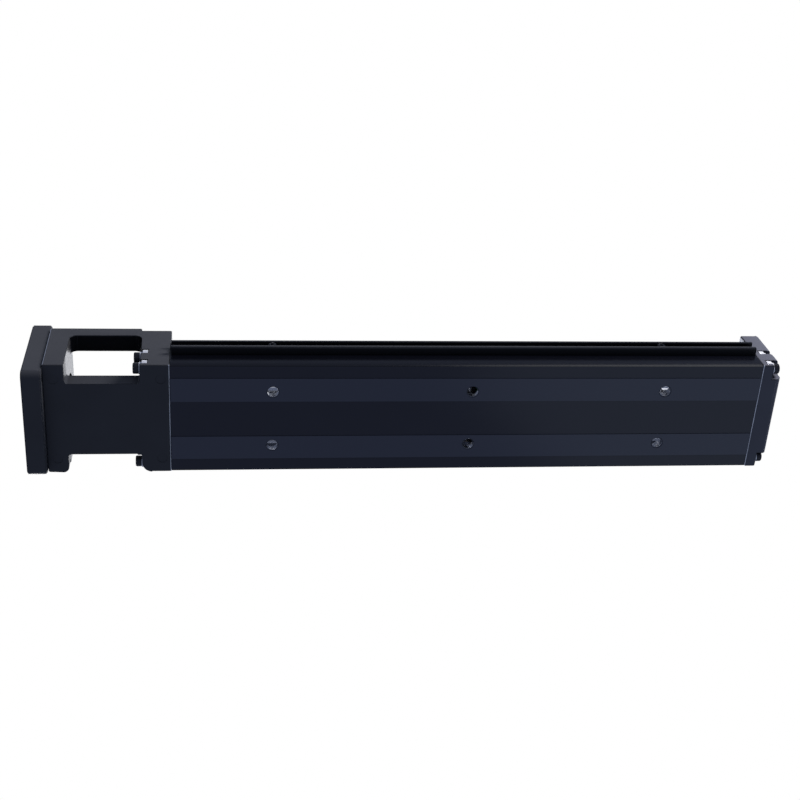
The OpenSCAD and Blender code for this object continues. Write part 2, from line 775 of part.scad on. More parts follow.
// A sector of a ring in the plane across the axis, from angle a0 to a1
module sector(r_in, r_out, a0, a1) {
    reach = r_out * 1.3;
    n = 6;
    intersection() {
        difference() {
            circle(r = r_out);
            circle(r = r_in);
        }
        polygon(concat([[0, 0]],
            [for (i = [0 : n]) reach * [cos(a0 + (a1 - a0) * i / n), sin(a0 + (a1 - a0) * i / n)]]));
    }
}

jaw_in = 3.5;        // inner radius of the coupling's jaws
jaw_half = 26;       // half angle of one jaw
arm_half = 3.4;      // gap angle left for the spider's arm on each side of a jaw
clamp_z = 6.4;       // offset of the clamp screws from the axis

module hub(x0, x1, bore_d, jaw_x0, jaw_x1, jaw_turn) {
    mid = (x0 + x1) / 2;
    difference() {
        union() {
            rod_x(coupling_d / 2, x0, x1);
            translate([0, 0, axis_z]) along_x(jaw_x0, jaw_x1) for (i = [0 : 2]) {
                sector(jaw_in, coupling_d / 2, jaw_turn + i * 120 - jaw_half, jaw_turn + i * 120 + jaw_half);
            }
        }
        rod_x(bore_d / 2 + fit, x0 - 1, x1 + 1);
        box([x0 - 1, x1 + 1], [-hub_slit / 2, hub_slit / 2], [axis_z + bore_d / 4, axis_z + coupling_d]);
        translate([mid, -coupling_d, axis_z + clamp_z]) rotate([-90, 0, 0])
            cylinder(d = m25[0] + 0.2, h = 2 * coupling_d);
        translate([mid, -coupling_d, axis_z + clamp_z]) rotate([-90, 0, 0])
            cylinder(d = m25[1] + 0.3, h = coupling_d - 3);
    }
}

module coupling_screw_hub() {
    in_frame() color([0.75, 0.75, 0.77])
        hub(screw_hub_x0, screw_hub_x1, coupling_seat_d, screw_hub_x0 - spider_len + 0.5,
            screw_hub_x0 + eps, 90);
}

module coupling_motor_hub() {
    in_frame() color([0.75, 0.75, 0.77])
        hub(motor_hub_x0, spider_x0, motor_shaft_d, spider_x0 - eps,
            spider_x0 + spider_len - 0.5, 30);
}

module coupling_spider() {
    in_frame() color([0.75, 0.12, 0.1]) translate([0, 0, axis_z])
        along_x(spider_x0 + 0.3, screw_hub_x0 - 0.3) difference() {
            union() {
                circle(r = jaw_in - 0.2);
                for (i = [0 : 5]) {
                    a = 60 * i;
                    sector(jaw_in - 0.4, coupling_d / 2 - 0.4, a - arm_half, a + arm_half);
                }
            }
            circle(r = 1.6);
        }
}

module coupling_clamp_screws() {
    places = [(screw_hub_x0 + screw_hub_x1) / 2, (motor_hub_x0 + spider_x0) / 2];
    in_frame() color([0.10, 0.10, 0.11]) for (x = places) {
        translate([x, -3 - eps, axis_z + clamp_z]) rotate([90, 0, 0]) cap_screw(m25, 9);
    }
}

// ---- carriage ---------------------------------------------------------------

module carriage_outline(inset, top_z) {
    g = guide_w / 2 - inset;
    w = carriage_w / 2 - inset;
    c = 1;
    polygon([
        [-g, block_z0 + c], [-g + c, block_z0], [g - c, block_z0], [g, block_z0 + c],
        [g, shelf_z], [w, shelf_z], [w, top_z], [-w, top_z], [-w, shelf_z], [-g, shelf_z]
    ]);
}

module carriage_block() {
    in_frame() color([0.55, 0.56, 0.58]) difference() {
        along_x(block_x0, block_x1) difference() {
            carriage_outline(0, block_top_z);
            for (s = [-1, 1], z = [row_low_z, row_high_z]) {
                translate([s * ball_y, z]) circle(r = block_groove_r);
                translate([s * return_y, z]) circle(r = return_r);
            }
        }
        rod_x(nut_d / 2 + fit, block_x0 - 1, block_x1 + 1);
        for (sx = [-1, 1], sy = [-1, 1]) {
            translate([car_x + sx * table_screw_x, sy * table_screw_y, block_top_z - 8])
                cylinder(d = m4[4], h = 9);
        }
        for (x = [block_x0, block_x1], s = [-1, 1]) {
            rod_x(m2[4] / 2, x - 6, x + 6, s * cap_screw_y, cap_screw_z);
        }
        translate([car_x, 0, axis_z]) cylinder(d = m4[4], h = block_top_z);
    }
}

module ball_nut() {
    in_frame() color([0.6, 0.6, 0.63]) difference() {
        rod_x(nut_d / 2, nut_x0, nut_x1);
        rod_x(screw_d / 2 + nut_clear, nut_x0 - 1, nut_x1 + 1);
        rod_x(nut_d / 2 - 2, nut_x0 - 1, nut_x0 + return_cap_t);
        rod_x(nut_d / 2 - 2, nut_x1 - return_cap_t, nut_x1 + 1);
        translate([car_x, 0, axis_z + nut_d / 2 - 1.5]) cylinder(d = m4[4], h = 3);
    }
}

module nut_return_caps() {
    in_frame() color([0.2, 0.45, 0.3]) for (x = [nut_x0, nut_x1 - return_cap_t]) {
        ring_x(nut_d / 2 - 2 - fit, screw_d / 2 + 0.3, x, x + return_cap_t);
    }
}

// Headless screw that holds the nut in the block
module nut_lock_screw() {
    in_frame() color([0.10, 0.10, 0.11]) translate([car_x, 0, 0]) difference() {
        translate([0, 0, axis_z + nut_d / 2 - 1.4])
            cylinder(r = m4[4] / 2 - thread_gap, h = block_top_z - axis_z - nut_d / 2 + 1.2);
        translate([0, 0, block_top_z - 1.5]) cylinder(d = 2.3, h = 3, $fn = 6);
    }
}

module linear_balls() {
    count = floor((block_len - 2) / (ball_d + 0.1));
    pitch = (block_len - 2) / count;
    in_frame() color([0.85, 0.85, 0.86]) for (s = [-1, 1], z = [row_low_z, row_high_z], i = [0 : count - 1]) {
        translate([block_x0 + 1 + pitch * (i + 0.5), s * ball_y, z]) sphere(r = ball_r, $fn = 16);
    }
}

module end_cap(x0) {
    difference() {
        along_x(x0, x0 + cap_t) carriage_outline(cap_inset, block_top_z - cap_inset);
        rod_x(nut_d / 2, x0 - 1, x0 + cap_t + 1);
        for (s = [-1, 1]) {
            rod_x((m2[0] + 0.3) / 2, x0 - 1, x0 + cap_t + 1, s * cap_screw_y, cap_screw_z);
        }
    }
}

module drive_end_cap() {
    in_frame() color([0.2, 0.42, 0.3]) difference() {
        end_cap(block_x0 - cap_t);
        nipple_hole();
    }
}

module tail_end_cap() {
    in_frame() color([0.2, 0.42, 0.3]) end_cap(block_x1);
}

module end_seal(x0, screw_side) {
    head_x = screw_side > 0 ? x0 + seal_t - 0.6 : x0 - 1;
    difference() {
        along_x(x0, x0 + seal_t) carriage_outline(cap_inset, block_top_z - cap_inset);
        rod_x(screw_d / 2 + 0.3, x0 - 1, x0 + seal_t + 1);
        for (s = [-1, 1]) {
            rod_x((m2[0] + 0.3) / 2, x0 - 1, x0 + seal_t + 1, s * cap_screw_y, cap_screw_z);
            rod_x((m2[1] + 0.3) / 2, head_x, head_x + 1.6, s * cap_screw_y, cap_screw_z);
        }
    }
}

module drive_end_seal() {
    in_frame() color([0.09, 0.09, 0.09]) difference() {
        end_seal(block_x0 - cap_t - seal_t, -1);
        nipple_hole();
    }
}

module tail_end_seal() {
    in_frame() color([0.09, 0.09, 0.09]) end_seal(block_x1 + cap_t, 1);
}

// Low screws that hold each cap and seal on the block
cap_head = [2, 3.8, 1.2, 1.3, 1.6];

module cap_screws() {
    len = seal_t + cap_t - 0.6 + 4;
    in_frame() color([0.45, 0.45, 0.47]) for (s = [-1, 1]) {
        translate([block_x0 - cap_t - seal_t + 0.6, s * cap_screw_y, cap_screw_z])
            rotate([0, -90, 0]) cap_screw(cap_head, len);
        translate([block_x1 + cap_t + seal_t - 0.6, s * cap_screw_y, cap_screw_z])
            rotate([0, 90, 0]) cap_screw(cap_head, len);
    }
}

nipple_y = 9;
nipple_z = 32.8;

module nipple_hole() {
    rod_x(1.6, block_x0 - cap_t - seal_t - 1, block_x0 - cap_t + 5, nipple_y, nipple_z);
}

module grease_nipple() {
    x = block_x0 - cap_t - seal_t;
    in_frame() color([0.78, 0.62, 0.3]) translate([x, nipple_y, nipple_z]) rotate([0, -90, 0])
        rotate_extrude() polygon([
            [0, -seal_t - 4], [1.55, -seal_t - 4], [1.55, 0], [2.2, 0], [2.2, 1.2],
            [1.1, 1.8], [1.1, 2.4], [1.6, 3.1], [1.6, 3.6], [0.8, 4.2], [0, 4.2]
        ]);
}

module carriage_table() {
    half = carriage_w / 2;
    c = table_chamfer;
    in_frame() color([0.13, 0.135, 0.16]) difference() {
        along_x(car_x - table_len / 2, car_x + table_len / 2) polygon([
            [-half, block_top_z], [half, block_top_z], [half, table_top_z - c],
            [half - c, table_top_z], [-half + c, table_top_z], [-half, table_top_z - c]
        ]);
        for (sx = [-1, 1], sy = [-1, 1]) {
            translate([car_x + sx * payload_pitch / 2, sy * payload_gauge / 2, block_top_z - 1])
                cylinder(d = payload_tap_d, h = table_top_z - block_top_z + 2);
            translate([car_x + sx * table_screw_x, sy * table_screw_y, block_top_z - 1]) {
                cylinder(d = m4[0] + 0.4, h = table_top_z - block_top_z + 2);
                translate([0, 0, table_top_z - block_top_z + 1 - m4[2] - 0.4])
                    cylinder(d = m4[1] + 0.4, h = m4[2] + 2);
            }
        }
    }
}

module table_screws() {
    head_z = table_top_z - m4[2] - 0.4;
    in_frame() color([0.10, 0.10, 0.11]) for (sx = [-1, 1], sy = [-1, 1]) {
        translate([car_x + sx * table_screw_x, sy * table_screw_y, head_z])
            cap_screw(m4, head_z - block_top_z + 7);
    }
}

// ---- bumpers ----------------------------------------------------------------

module bumper() {
    translate([0, 0, -bumper_pin_len]) cylinder(r = bumper_pin_r, h = bumper_pin_len + eps);
    cylinder(d = bumper_d, h = bumper_len - 1);
    translate([0, 0, bumper_len - 1 - eps]) cylinder(d = bumper_d - 1.6, h = 1 + eps);
}

module drive_bumpers() {
    in_frame() color([0.12, 0.12, 0.12]) bumper_places(0) rotate([0, 90, 0]) bumper();
}

module tail_bumpers() {
    in_frame() color([0.12, 0.12, 0.12]) bumper_places(rail_len) rotate([0, -90, 0]) bumper();
}

guide_rail();
sensor_rail();
sensor_rail_screws();
motor_bracket();
bracket_screws();
bracket_washers();
motor_plate();
plate_screws();
end_block();
end_block_screws();
end_block_washers();
ball_screw();
drive_bearing_outer_rings();
drive_bearing_inner_rings();
drive_bearing_balls();
bearing_retainer();
retainer_screws();
bearing_spacer();
lock_nut();
tail_bearing_outer_ring();
tail_bearing_inner_ring();
tail_bearing_balls();
tail_circlip();
coupling_screw_hub();
coupling_motor_hub();
coupling_spider();
coupling_clamp_screws();
carriage_block();
ball_nut();
nut_return_caps();
nut_lock_screw();
linear_balls();
drive_end_cap();
tail_end_cap();
drive_end_seal();
tail_end_seal();
cap_screws();
grease_nipple();
carriage_table();
table_screws();
drive_bumpers();
tail_bumpers();
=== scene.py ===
# %% [markdown]
# # A ball screw linear module
# The object is a 380 mm long positioning axis. A black U-shaped rail carries a
# steel carriage on balls, and a ball screw in the rail's channel drives it. A
# bracket with a square plate takes the motor at one end, and a thin block holds
# the screw's tail at the other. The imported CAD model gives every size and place.
# Here each piece gets rounded edges, real fasteners, a real thread and a finish.

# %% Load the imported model
import json
import math

import bmesh
import bpy
from mathutils import Matrix, Vector


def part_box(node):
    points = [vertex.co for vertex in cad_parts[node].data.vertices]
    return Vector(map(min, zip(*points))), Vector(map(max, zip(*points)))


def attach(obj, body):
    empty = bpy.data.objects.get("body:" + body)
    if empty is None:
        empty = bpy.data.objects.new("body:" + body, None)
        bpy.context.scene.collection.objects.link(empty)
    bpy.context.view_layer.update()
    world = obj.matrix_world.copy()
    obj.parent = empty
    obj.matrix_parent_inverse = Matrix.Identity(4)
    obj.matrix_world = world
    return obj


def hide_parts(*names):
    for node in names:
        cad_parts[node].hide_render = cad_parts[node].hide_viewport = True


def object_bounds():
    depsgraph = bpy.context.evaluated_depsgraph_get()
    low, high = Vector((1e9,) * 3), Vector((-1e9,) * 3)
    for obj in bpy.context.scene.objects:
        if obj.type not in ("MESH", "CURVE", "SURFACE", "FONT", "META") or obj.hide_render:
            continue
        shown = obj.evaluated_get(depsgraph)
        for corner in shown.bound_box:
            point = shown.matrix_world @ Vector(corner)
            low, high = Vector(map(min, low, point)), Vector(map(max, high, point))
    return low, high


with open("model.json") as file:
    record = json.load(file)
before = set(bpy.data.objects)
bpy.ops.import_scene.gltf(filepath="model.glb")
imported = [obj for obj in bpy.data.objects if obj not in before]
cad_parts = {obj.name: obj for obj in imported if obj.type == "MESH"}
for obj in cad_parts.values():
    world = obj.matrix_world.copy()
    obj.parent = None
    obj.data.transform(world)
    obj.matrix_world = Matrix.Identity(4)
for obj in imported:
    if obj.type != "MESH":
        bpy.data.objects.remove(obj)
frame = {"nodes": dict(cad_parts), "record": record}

CAD_LOW, CAD_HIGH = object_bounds()
MM = 0.001
print("CAD box, mm:", [round((b - a) / MM, 1) for a, b in zip(CAD_LOW, CAD_HIGH)])

# %% [markdown]
# ## Camera
# The module is seen from below and from the side that carries the sensor rail,
# with a long lens and a slight roll. A camera's matrix is built from the three
# directions that its own axes have in the model's frame: right, up and back.

# %% Camera
CAMERA_PLACE = Vector((-0.1262, -0.32603, -0.60182))
CAMERA_RIGHT = Vector((0.99143, -0.05852, -0.11682))
CAMERA_UP = Vector((0.00238, -0.88583, 0.46400))
CAMERA_BACK = Vector((-0.13064, -0.46030, -0.87810))
LENS_MM = 61.67

camera_data = bpy.data.cameras.new("camera")
camera_data.lens = LENS_MM
camera_data.sensor_width = 36
camera_data.clip_start = 0.01
camera = bpy.data.objects.new("camera", camera_data)
bpy.context.scene.collection.objects.link(camera)
turned_axes = Matrix((CAMERA_RIGHT, CAMERA_UP, CAMERA_BACK)).transposed()
camera.matrix_world = Matrix.Translation(CAMERA_PLACE) @ turned_axes.to_4x4()
bpy.context.scene.camera = camera
bpy.context.scene.view_settings.view_transform = "Standard"
print("camera is", round((CAMERA_PLACE - (CAD_LOW + CAD_HIGH) / 2).length, 3), "m away")

# %% [markdown]
# ## Writing node trees as sums
# A finish is a small calculation for each point of a surface. Clicking it
# together in the editor hides the calculation, so `Wire` wraps a socket and lets
# Python's own operators add the Math nodes. `Board.add` makes every other node
# from its type, its settings and its inputs. The same two classes serve for
# shader trees and for geometry trees.

# %% Wires and boards
class Wire:
    """One output socket that can be used in a sum."""

    def __init__(self, board, socket):
        self.board, self.socket = board, socket

    def _sum(self, operation, other, swap=False):
        first, second = (other, self) if swap else (self, other)
        return self.board.add("ShaderNodeMath", {"operation": operation}, {0: first, 1: second})

    def __add__(self, other):
        return self._sum("ADD", other)

    def __sub__(self, other):
        return self._sum("SUBTRACT", other)

    def __rsub__(self, other):
        return self._sum("SUBTRACT", other, True)

    def __mul__(self, other):
        return self._sum("MULTIPLY", other)

    def __truediv__(self, other):
        return self._sum("DIVIDE", other)

    def __rtruediv__(self, other):
        return self._sum("DIVIDE", other, True)

    def __pow__(self, other):
        return self._sum("POWER", other)

    __radd__ = __add__
    __rmul__ = __mul__

    def do(self, operation, other=0.0):
        """A Math operation that Python has no sign for, such as SINE."""
        return self._sum(operation, other)


class Board:
    """A node tree that is filled by calls."""

    def __init__(self, tree):
        self.tree = tree
        tree.nodes.clear()

    def add(self, kind, settings=None, inputs=None, out=0):
        node = self.tree.nodes.new(kind)
        for key, value in (settings or {}).items():
            setattr(node, key, value)
        for key, value in (inputs or {}).items():
            if isinstance(value, Wire):
                self.tree.links.new(value.socket, node.inputs[key])
            else:
                node.inputs[key].default_value = value
        return Wire(self, node.outputs[out]) if len(node.outputs) else node

    def step(self, value, low, high):
        """0 below low, 1 above high, and a soft rise between."""
        limits = {"Value": value, "From Min": low, "From Max": high}
        return self.add("ShaderNodeMapRange", {"interpolation_type": "SMOOTHSTEP"}, limits)


print("wires and boards are ready")

# %% [markdown]
# ## Finishes
# Every finish here varies over the surface, because real metal shows how it was
# made: grinding leaves long scratches, turning leaves rings, bead blasting
# leaves grain and moulding leaves a faint orange peel. Each is a noise that is
# stretched, or not, along the direction of the tool. The noise feeds colour,
# roughness and a shallow bump. Object coordinates equal the model's frame, so a
# finish can also tell a ground land from the relieved strip beside it, and can
# place the painted shade and painted highlights that are marked where they stand.

# %% The finish class
class Finish(Board):
    """A material for which colours are linear and lengths are in millimetres."""

    def __init__(self, name):
        self.material = bpy.data.materials.new(name)
        self.material.use_nodes = True
        super().__init__(self.material.node_tree)
        self.coords = self.add("ShaderNodeTexCoord", out="Object")
        apart = self.add("ShaderNodeSeparateXYZ", {}, {0: self.coords})
        sockets = apart.socket.node.outputs
        self.x, self.y, self.z = (Wire(self, socket) / MM for socket in sockets)

    def noise(self, per_mm, detail=2.0, rough=0.5):
        """Noise with so many waves to a millimetre along x, y and z."""
        scaled = self.add("ShaderNodeMapping", {}, {"Vector": self.coords,
            "Scale": tuple(n / MM for n in per_mm)})
        return self.add("ShaderNodeTexNoise", {}, {"Vector": scaled, "Scale": 1.0,
            "Detail": detail, "Roughness": rough})

    def mix(self, low, high, amount):
        low, high = ((*c, 1) if isinstance(c, tuple) else c for c in (low, high))
        return self.add("ShaderNodeMix", {"data_type": "RGBA"}, {0: amount, 6: low, 7: high}, 2)

    def between(self, value, low, high, soft=0.05):
        """1 where the value is between low and high."""
        above = self.step(value, low - soft, low + soft)
        return above * (1 - self.step(value, high - soft, high + soft))

    def close(self, colour, roughness, metallic=0.0, height=None, depth_mm=0.02, **fixed):
        """Wires the surface up. Extra keywords are fixed sockets of the shader."""
        inputs = {"Base Color": (*colour, 1) if isinstance(colour, tuple) else colour,
            "Roughness": roughness, "Metallic": metallic}
        if height is not None:
            inputs["Normal"] = self.add("ShaderNodeBump", {}, {"Height": height,
                "Strength": 1.0, "Distance": depth_mm * MM})
        inputs.update({key.replace("_", " "): value for key, value in fixed.items()})
        shader = self.add("ShaderNodeBsdfPrincipled", {}, inputs)
        self.add("ShaderNodeOutputMaterial", {}, {"Surface": shader})
        return self.material


def rail_box(node):
    """Lowest and highest corner of a CAD node, in millimetres."""
    low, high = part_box(node)
    return Vector(low) / MM, Vector(high) / MM


RAIL_LOW, RAIL_HIGH = rail_box("guide_rail")
AXIS_Z = sum(c.z for c in rail_box("ball_screw")) / 2
print("rail", [round(v, 1) for v in RAIL_HIGH - RAIL_LOW], "screw axis at", round(AXIS_Z, 2))

# %% [markdown]
# ## Black coated steel
# The rail is ground steel under a thin black coating. Its underside stands on
# two ground lands, a little higher and paler than the strips beside them, and
# its sides are painted darker than its underside, as painted shade under the
# sensor rail. The mounting holes and the channel are bare. One material tells
# them all apart by height and place.

# %% Rail coating
HOLES_X, HOLES_Y, COUNTERBORE_R = (-100, 0, 100), 15, 4.75
LAND = (9.75, 22.5)
CHANNEL_FLOOR_Z, CHANNEL_HALF_WIDTH = 8.0, 20.6
SIDE_Y = 29.0
STRIP_DARK, STRIP_PALE = (0.0250, 0.0255, 0.0350), (0.0280, 0.0290, 0.0400)
# The side colour on the next line is painted shade.
LAND_COLOUR, SIDE_PAINTED_SHADE = (0.0600, 0.0640, 0.0850), (0.0020, 0.0022, 0.0040)
BARE_STEEL_DARK, BARE_STEEL_PALE = (0.30, 0.31, 0.34), (0.44, 0.45, 0.48)


def coated_rail():
    f = Finish("black_coated_rail")
    grain = f.noise((0.02, 1.6, 1.6), 4, 0.6)
    cloud = f.noise((0.03, 0.05, 0.05), 2)
    out = f.y.do("ABSOLUTE")
    low = 1 - f.step(f.z, 0.02, 0.2)
    land = low * f.between(out, *LAND, 0.1)
    channel = f.step(f.z, CHANNEL_FLOOR_Z - 0.1, CHANNEL_FLOOR_Z - 0.01)
    channel *= 1 - f.step(out, CHANNEL_HALF_WIDTH, CHANNEL_HALF_WIDTH + 0.3)
    in_hole = 0.0
    for hole_x in HOLES_X:
        away = ((f.x - hole_x) ** 2 + (out - HOLES_Y) ** 2) ** 0.5
        in_hole = (1 - f.step(away, COUNTERBORE_R + 0.05, COUNTERBORE_R + 0.15)) + in_hole
    bare = (in_hole.do("MINIMUM", 1.0) * f.step(f.z, 0.3, 0.5)).do("MAXIMUM", channel)
    # Painted shade: the rail's sides are painted near black, for the shade under the sensor rail's
    # overhang.
    side = f.step(out, SIDE_Y - 0.1, SIDE_Y + 0.1)
    colour = f.mix(STRIP_DARK, STRIP_PALE, cloud)
    colour = f.mix(colour, LAND_COLOUR, land)
    colour = f.mix(colour, SIDE_PAINTED_SHADE, side)
    colour = f.mix(colour, f.mix(BARE_STEEL_DARK, BARE_STEEL_PALE, grain), bare)
    rough = 0.11 + grain * 0.08 + land * 0.03 + bare * 0.12 + side * 0.05
    return f.close(colour, rough, bare * 0.85, grain, 0.004, Specular_IOR_Level=0.3)


COATED_RAIL = coated_rail()
print(COATED_RAIL.name, "has", len(COATED_RAIL.node_tree.nodes), "nodes")

# %% [markdown]
# ## Black anodised aluminium
# The bracket, plates and blocks are machined from aluminium, bead blasted and
# anodised black. Where an end face was faced again after anodising, its chamfer
# is bare metal and shows as a bright line. A second material goes on the rounded
# edges alone, and is bare only near those end faces. Inside the coupling chamber
# the black is painted darker as painted shade, and the wall at its motor end was
# faced and left bare.

# %% Anodised finishes
BARE_ALUMINIUM = (0.80, 0.81, 0.83)
ANODISED = (0.0340, 0.0350, 0.0390)
ANODISED_SPECULAR = 0.25
CLOUD_PALER = 1.35
CHAMBER_PAINTED_SHADE = (0.0020, 0.0021, 0.0030)
FACED_DARK, FACED_PALE = (0.04, 0.04, 0.046), (0.10, 0.10, 0.106)


def anodised(name, colour, milled=0.0, bare_x=None):
    """Blasted black aluminium; milled adds a cutter's lines, bare_x is a bare end face."""
    f = Finish(name)
    grain = f.noise((2.4, 2.4, 2.4), 3, 0.6)
    cloud = f.noise((0.04, 0.05, 0.05), 2)
    paler = tuple(c * CLOUD_PALER for c in colour)
    lines = f.noise((0.05, 3.0, 0.05), 2)
    height = grain * (1 - milled) + lines * milled
    blended = f.mix(colour, paler, cloud)
    bare = 0.0
    if bare_x is not None:
        bare = 1 - f.step((f.x - bare_x).do("ABSOLUTE"), 0.06, 0.1)
        blended = f.mix(blended, BARE_ALUMINIUM, bare)
    return f.close(blended, 0.40 + grain * 0.14, bare * 0.6, height, 0.012,
        Specular_IOR_Level=ANODISED_SPECULAR)


def bare_edge(name, low_planes, side_plane):
    """Bare chamfers underneath at the low planes and up the side at the side plane."""
    f = Finish(name)
    grain = f.noise((2.0, 0.15, 0.15), 3)
    above = f.step(f.z, 0.9, 1.1)
    bare = (1 - f.step((f.x - side_plane).do("ABSOLUTE"), 0.7, 0.8)) * above
    for plane in low_planes:
        bare = (1 - f.step((f.x - plane).do("ABSOLUTE"), 0.7, 0.8)) * (1 - above) + bare
    bare = bare.do("MINIMUM", 1.0)
    colour = f.mix(ANODISED, BARE_ALUMINIUM, bare)
    return f.close(colour, 0.5 - bare * 0.12 + grain * 0.1, bare, grain, 0.006,
        Specular_IOR_Level=ANODISED_SPECULAR)


def machined_wall(name, plane):
    """Anodised, with painted shade inside the chamber and a bare faced wall at the plane."""
    f = Finish(name)
    grain = f.noise((2.4, 2.4, 2.4), 3, 0.6)
    cloud = f.noise((0.04, 0.05, 0.05), 2)
    strokes = f.step(f.noise((0.2, 0.5, 0.03), 3, 0.7), 0.38, 0.6)
    inside = 1 - f.step(f.y.do("ABSOLUTE"), 29.3, 29.5)
    at_plane = 1 - f.step((f.x - plane).do("ABSOLUTE"), 0.3, 0.35)
    bare = at_plane * f.step(f.z, 9.0, 10.5) * inside
    black = f.mix(ANODISED, tuple(c * CLOUD_PALER for c in ANODISED), cloud)
    # Painted shade: inside the chamber, above about 10 mm, the black is painted darker.
    black = f.mix(black, CHAMBER_PAINTED_SHADE, inside * f.step(f.z, 10.0, 12.0))
    colour = f.mix(black, f.mix(FACED_DARK, FACED_PALE, strokes), bare)
    return f.close(colour, 0.40 + grain * 0.14 - bare * 0.1, bare * 0.6, grain, 0.012,
        Specular_IOR_Level=ANODISED_SPECULAR)


BRACKET_LOW, BRACKET_HIGH = rail_box("motor_bracket")
END_LOW = rail_box("end_block")[0]
MOTOR_WALL_T = 10.2
BRACKET_FINISH = machined_wall("black_anodised_bracket", BRACKET_LOW.x + MOTOR_WALL_T)
# Painted light: the end block's black is painted paler and bluer than the bracket's, for the
# brighter light at the tail end.
BLOCK_PAINTED_PALER_FINISH = anodised("black_anodised_block", (0.0610, 0.0632, 0.0776), 0.0, END_LOW.x)
PLATE_FINISH = anodised("black_anodised_plate", ANODISED)
TABLE_FINISH = anodised("black_anodised_table", (0.010, 0.0105, 0.014), 0.5)
BARE_EDGES = bare_edge("bare_chamfers", [BRACKET_HIGH.x, END_LOW.x], BRACKET_LOW.x)
print("anodised finishes:", BRACKET_FINISH.name, BLOCK_PAINTED_PALER_FINISH.name, BARE_EDGES.name)

# %% [markdown]
# ## Extruded sensor rail
# The slim channel along the side is an extrusion, so its marks run along it. The
# edge of its lower lip is painted pale as a painted highlight, which draws a line
# along the whole module.

# %% Sensor rail finish
def extruded():
    f = Finish("black_extruded_channel")
    lines = f.noise((0.01, 2.2, 2.2), 3)
    low = rail_box("sensor_rail")[0]
    # Painted highlight: the outer edge of the lower lip is painted pale and half metallic.
    lip = f.between(f.z, low.z + 1.95, low.z + 2.5, 0.12)
    lip *= 1 - f.step(f.y, low.y + 0.12, low.y + 0.3)
    colour = f.mix((0.0040, 0.0042, 0.0055), (0.12, 0.12, 0.127), lip)
    return f.close(colour, 0.34 + lines * 0.12, lip * 0.5, lines, 0.006, Specular_IOR_Level=0.35)


CHANNEL_FINISH = extruded()
print(CHANNEL_FINISH.name)

# %% [markdown]
# ## Steel, brass, plastic and rubber
# One function covers the metals: a colour, a roughness and how far the tool's
# marks are stretched along each axis. The moulded pieces share another, whose
# fine grain is even in all directions.

# %% The other finishes
def metal(name, colour, rough, marks, depth=0.004, metallic=1.0, wear=0.18):
    f = Finish(name)
    grain = f.noise(marks, 4, 0.6)
    cloud = f.noise((0.08, 0.08, 0.08), 2)
    darker = tuple(c * (1 - wear) for c in colour)
    tone = f.mix(darker, colour, f.step(cloud * 0.5 + grain * 0.5, 0.35, 0.65))
    return f.close(tone, rough + grain * 0.12, metallic, grain, depth)


def painted_glint_oxide(name, top):
    """Black oxide whose heads carry a painted glint: their tops are painted bright steel."""
    f = Finish(name)
    grain = f.noise((0.6, 0.6, 0.6), 4, 0.6)
    # Painted glint: the top of each head is painted bright and less black.
    painted_glint = f.step(f.z, top - 0.5, top - 0.3)
    tone = f.mix((0.03, 0.03, 0.035), (0.85, 0.86, 0.88), painted_glint)
    return f.close(tone, 0.36 + grain * 0.12, 1 - painted_glint * 0.7, grain, 0.003)


def moulded(name, colour, rough, grain_mm=1.2, depth=0.01, **fixed):
    f = Finish(name)
    grain = f.noise((grain_mm,) * 3, 3, 0.6)
    cloud = f.noise((0.06,) * 3, 2)
    paler = tuple(min(1.0, c * 1.3 + 0.002) for c in colour)
    return f.close(f.mix(colour, paler, cloud), rough + grain * 0.12, 0.0, grain, depth, **fixed)


ALONG = (0.03, 1.8, 1.8)
AROUND = (2.2, 0.12, 0.12)
ROUND = (0.6, 0.6, 0.6)
GROUND_STEEL = metal("ground_steel", (0.56, 0.57, 0.60), 0.22, ALONG)
SCREW_STEEL = metal("rolled_screw_steel", (0.62, 0.63, 0.66), 0.14, AROUND)
BALL_STEEL = metal("polished_bearing_steel", (0.78, 0.79, 0.81), 0.06, ROUND, 0.001)
BLACK_OXIDE = metal("black_oxide_steel", (0.045, 0.045, 0.050), 0.34, ROUND, 0.003, 0.85)
PAINTED_GLINT_OXIDE = painted_glint_oxide("rubbed_black_oxide", rail_box("sensor_rail_screws")[1].z)
ZINC = metal("bright_zinc_plate", (0.83, 0.84, 0.87), 0.2, ROUND, 0.003, 0.4)
TURNED_ALUMINIUM = metal("turned_aluminium", (0.78, 0.79, 0.81), 0.22, AROUND, 0.006)
BRASS = metal("turned_brass", (0.72, 0.50, 0.20), 0.2, ROUND, 0.003)
GREEN_PLASTIC = moulded("green_moulded_plastic", (0.028, 0.14, 0.062), 0.38)
RUBBER = moulded("black_nitrile_rubber", (0.014, 0.014, 0.015), 0.6, 2.0, 0.02)
POLYURETHANE = moulded("red_polyurethane", (0.50, 0.025, 0.018), 0.28, 0.5, 0.01, Coat_Weight=0.4)
print(len(bpy.data.materials), "materials")

# %% [markdown]
# ## Rounded edges on the CAD pieces
# A mesh from CAD has razor edges and long triangles. No real edge is that sharp:
# its tiny round catches a highlight that tells the eye how big the piece is.
# The copy is welded and its flats are dissolved back to large faces. Edges that
# bend more than 30 degrees and are long enough to have room are marked, and a
# Bevel modifier rounds them. Weighted normals keep the flats flat. The rounded
# faces may have a second material.

# %% Dressing a CAD piece
WELD_MM, FLAT_DEG = 0.002, 0.5
ROUND_DEG, SPLIT_DEG, LONG_MM = 30, 8, 20
SHARP_DEG = 35
made = []


def keep(piece, body, slot, *nodes):
    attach(piece, body)
    if nodes:
        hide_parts(*nodes)
    made.append(piece)
    return piece


def new_object(name, mesh):
    thing = bpy.data.objects.new(name, mesh)
    bpy.context.scene.collection.objects.link(thing)
    return thing


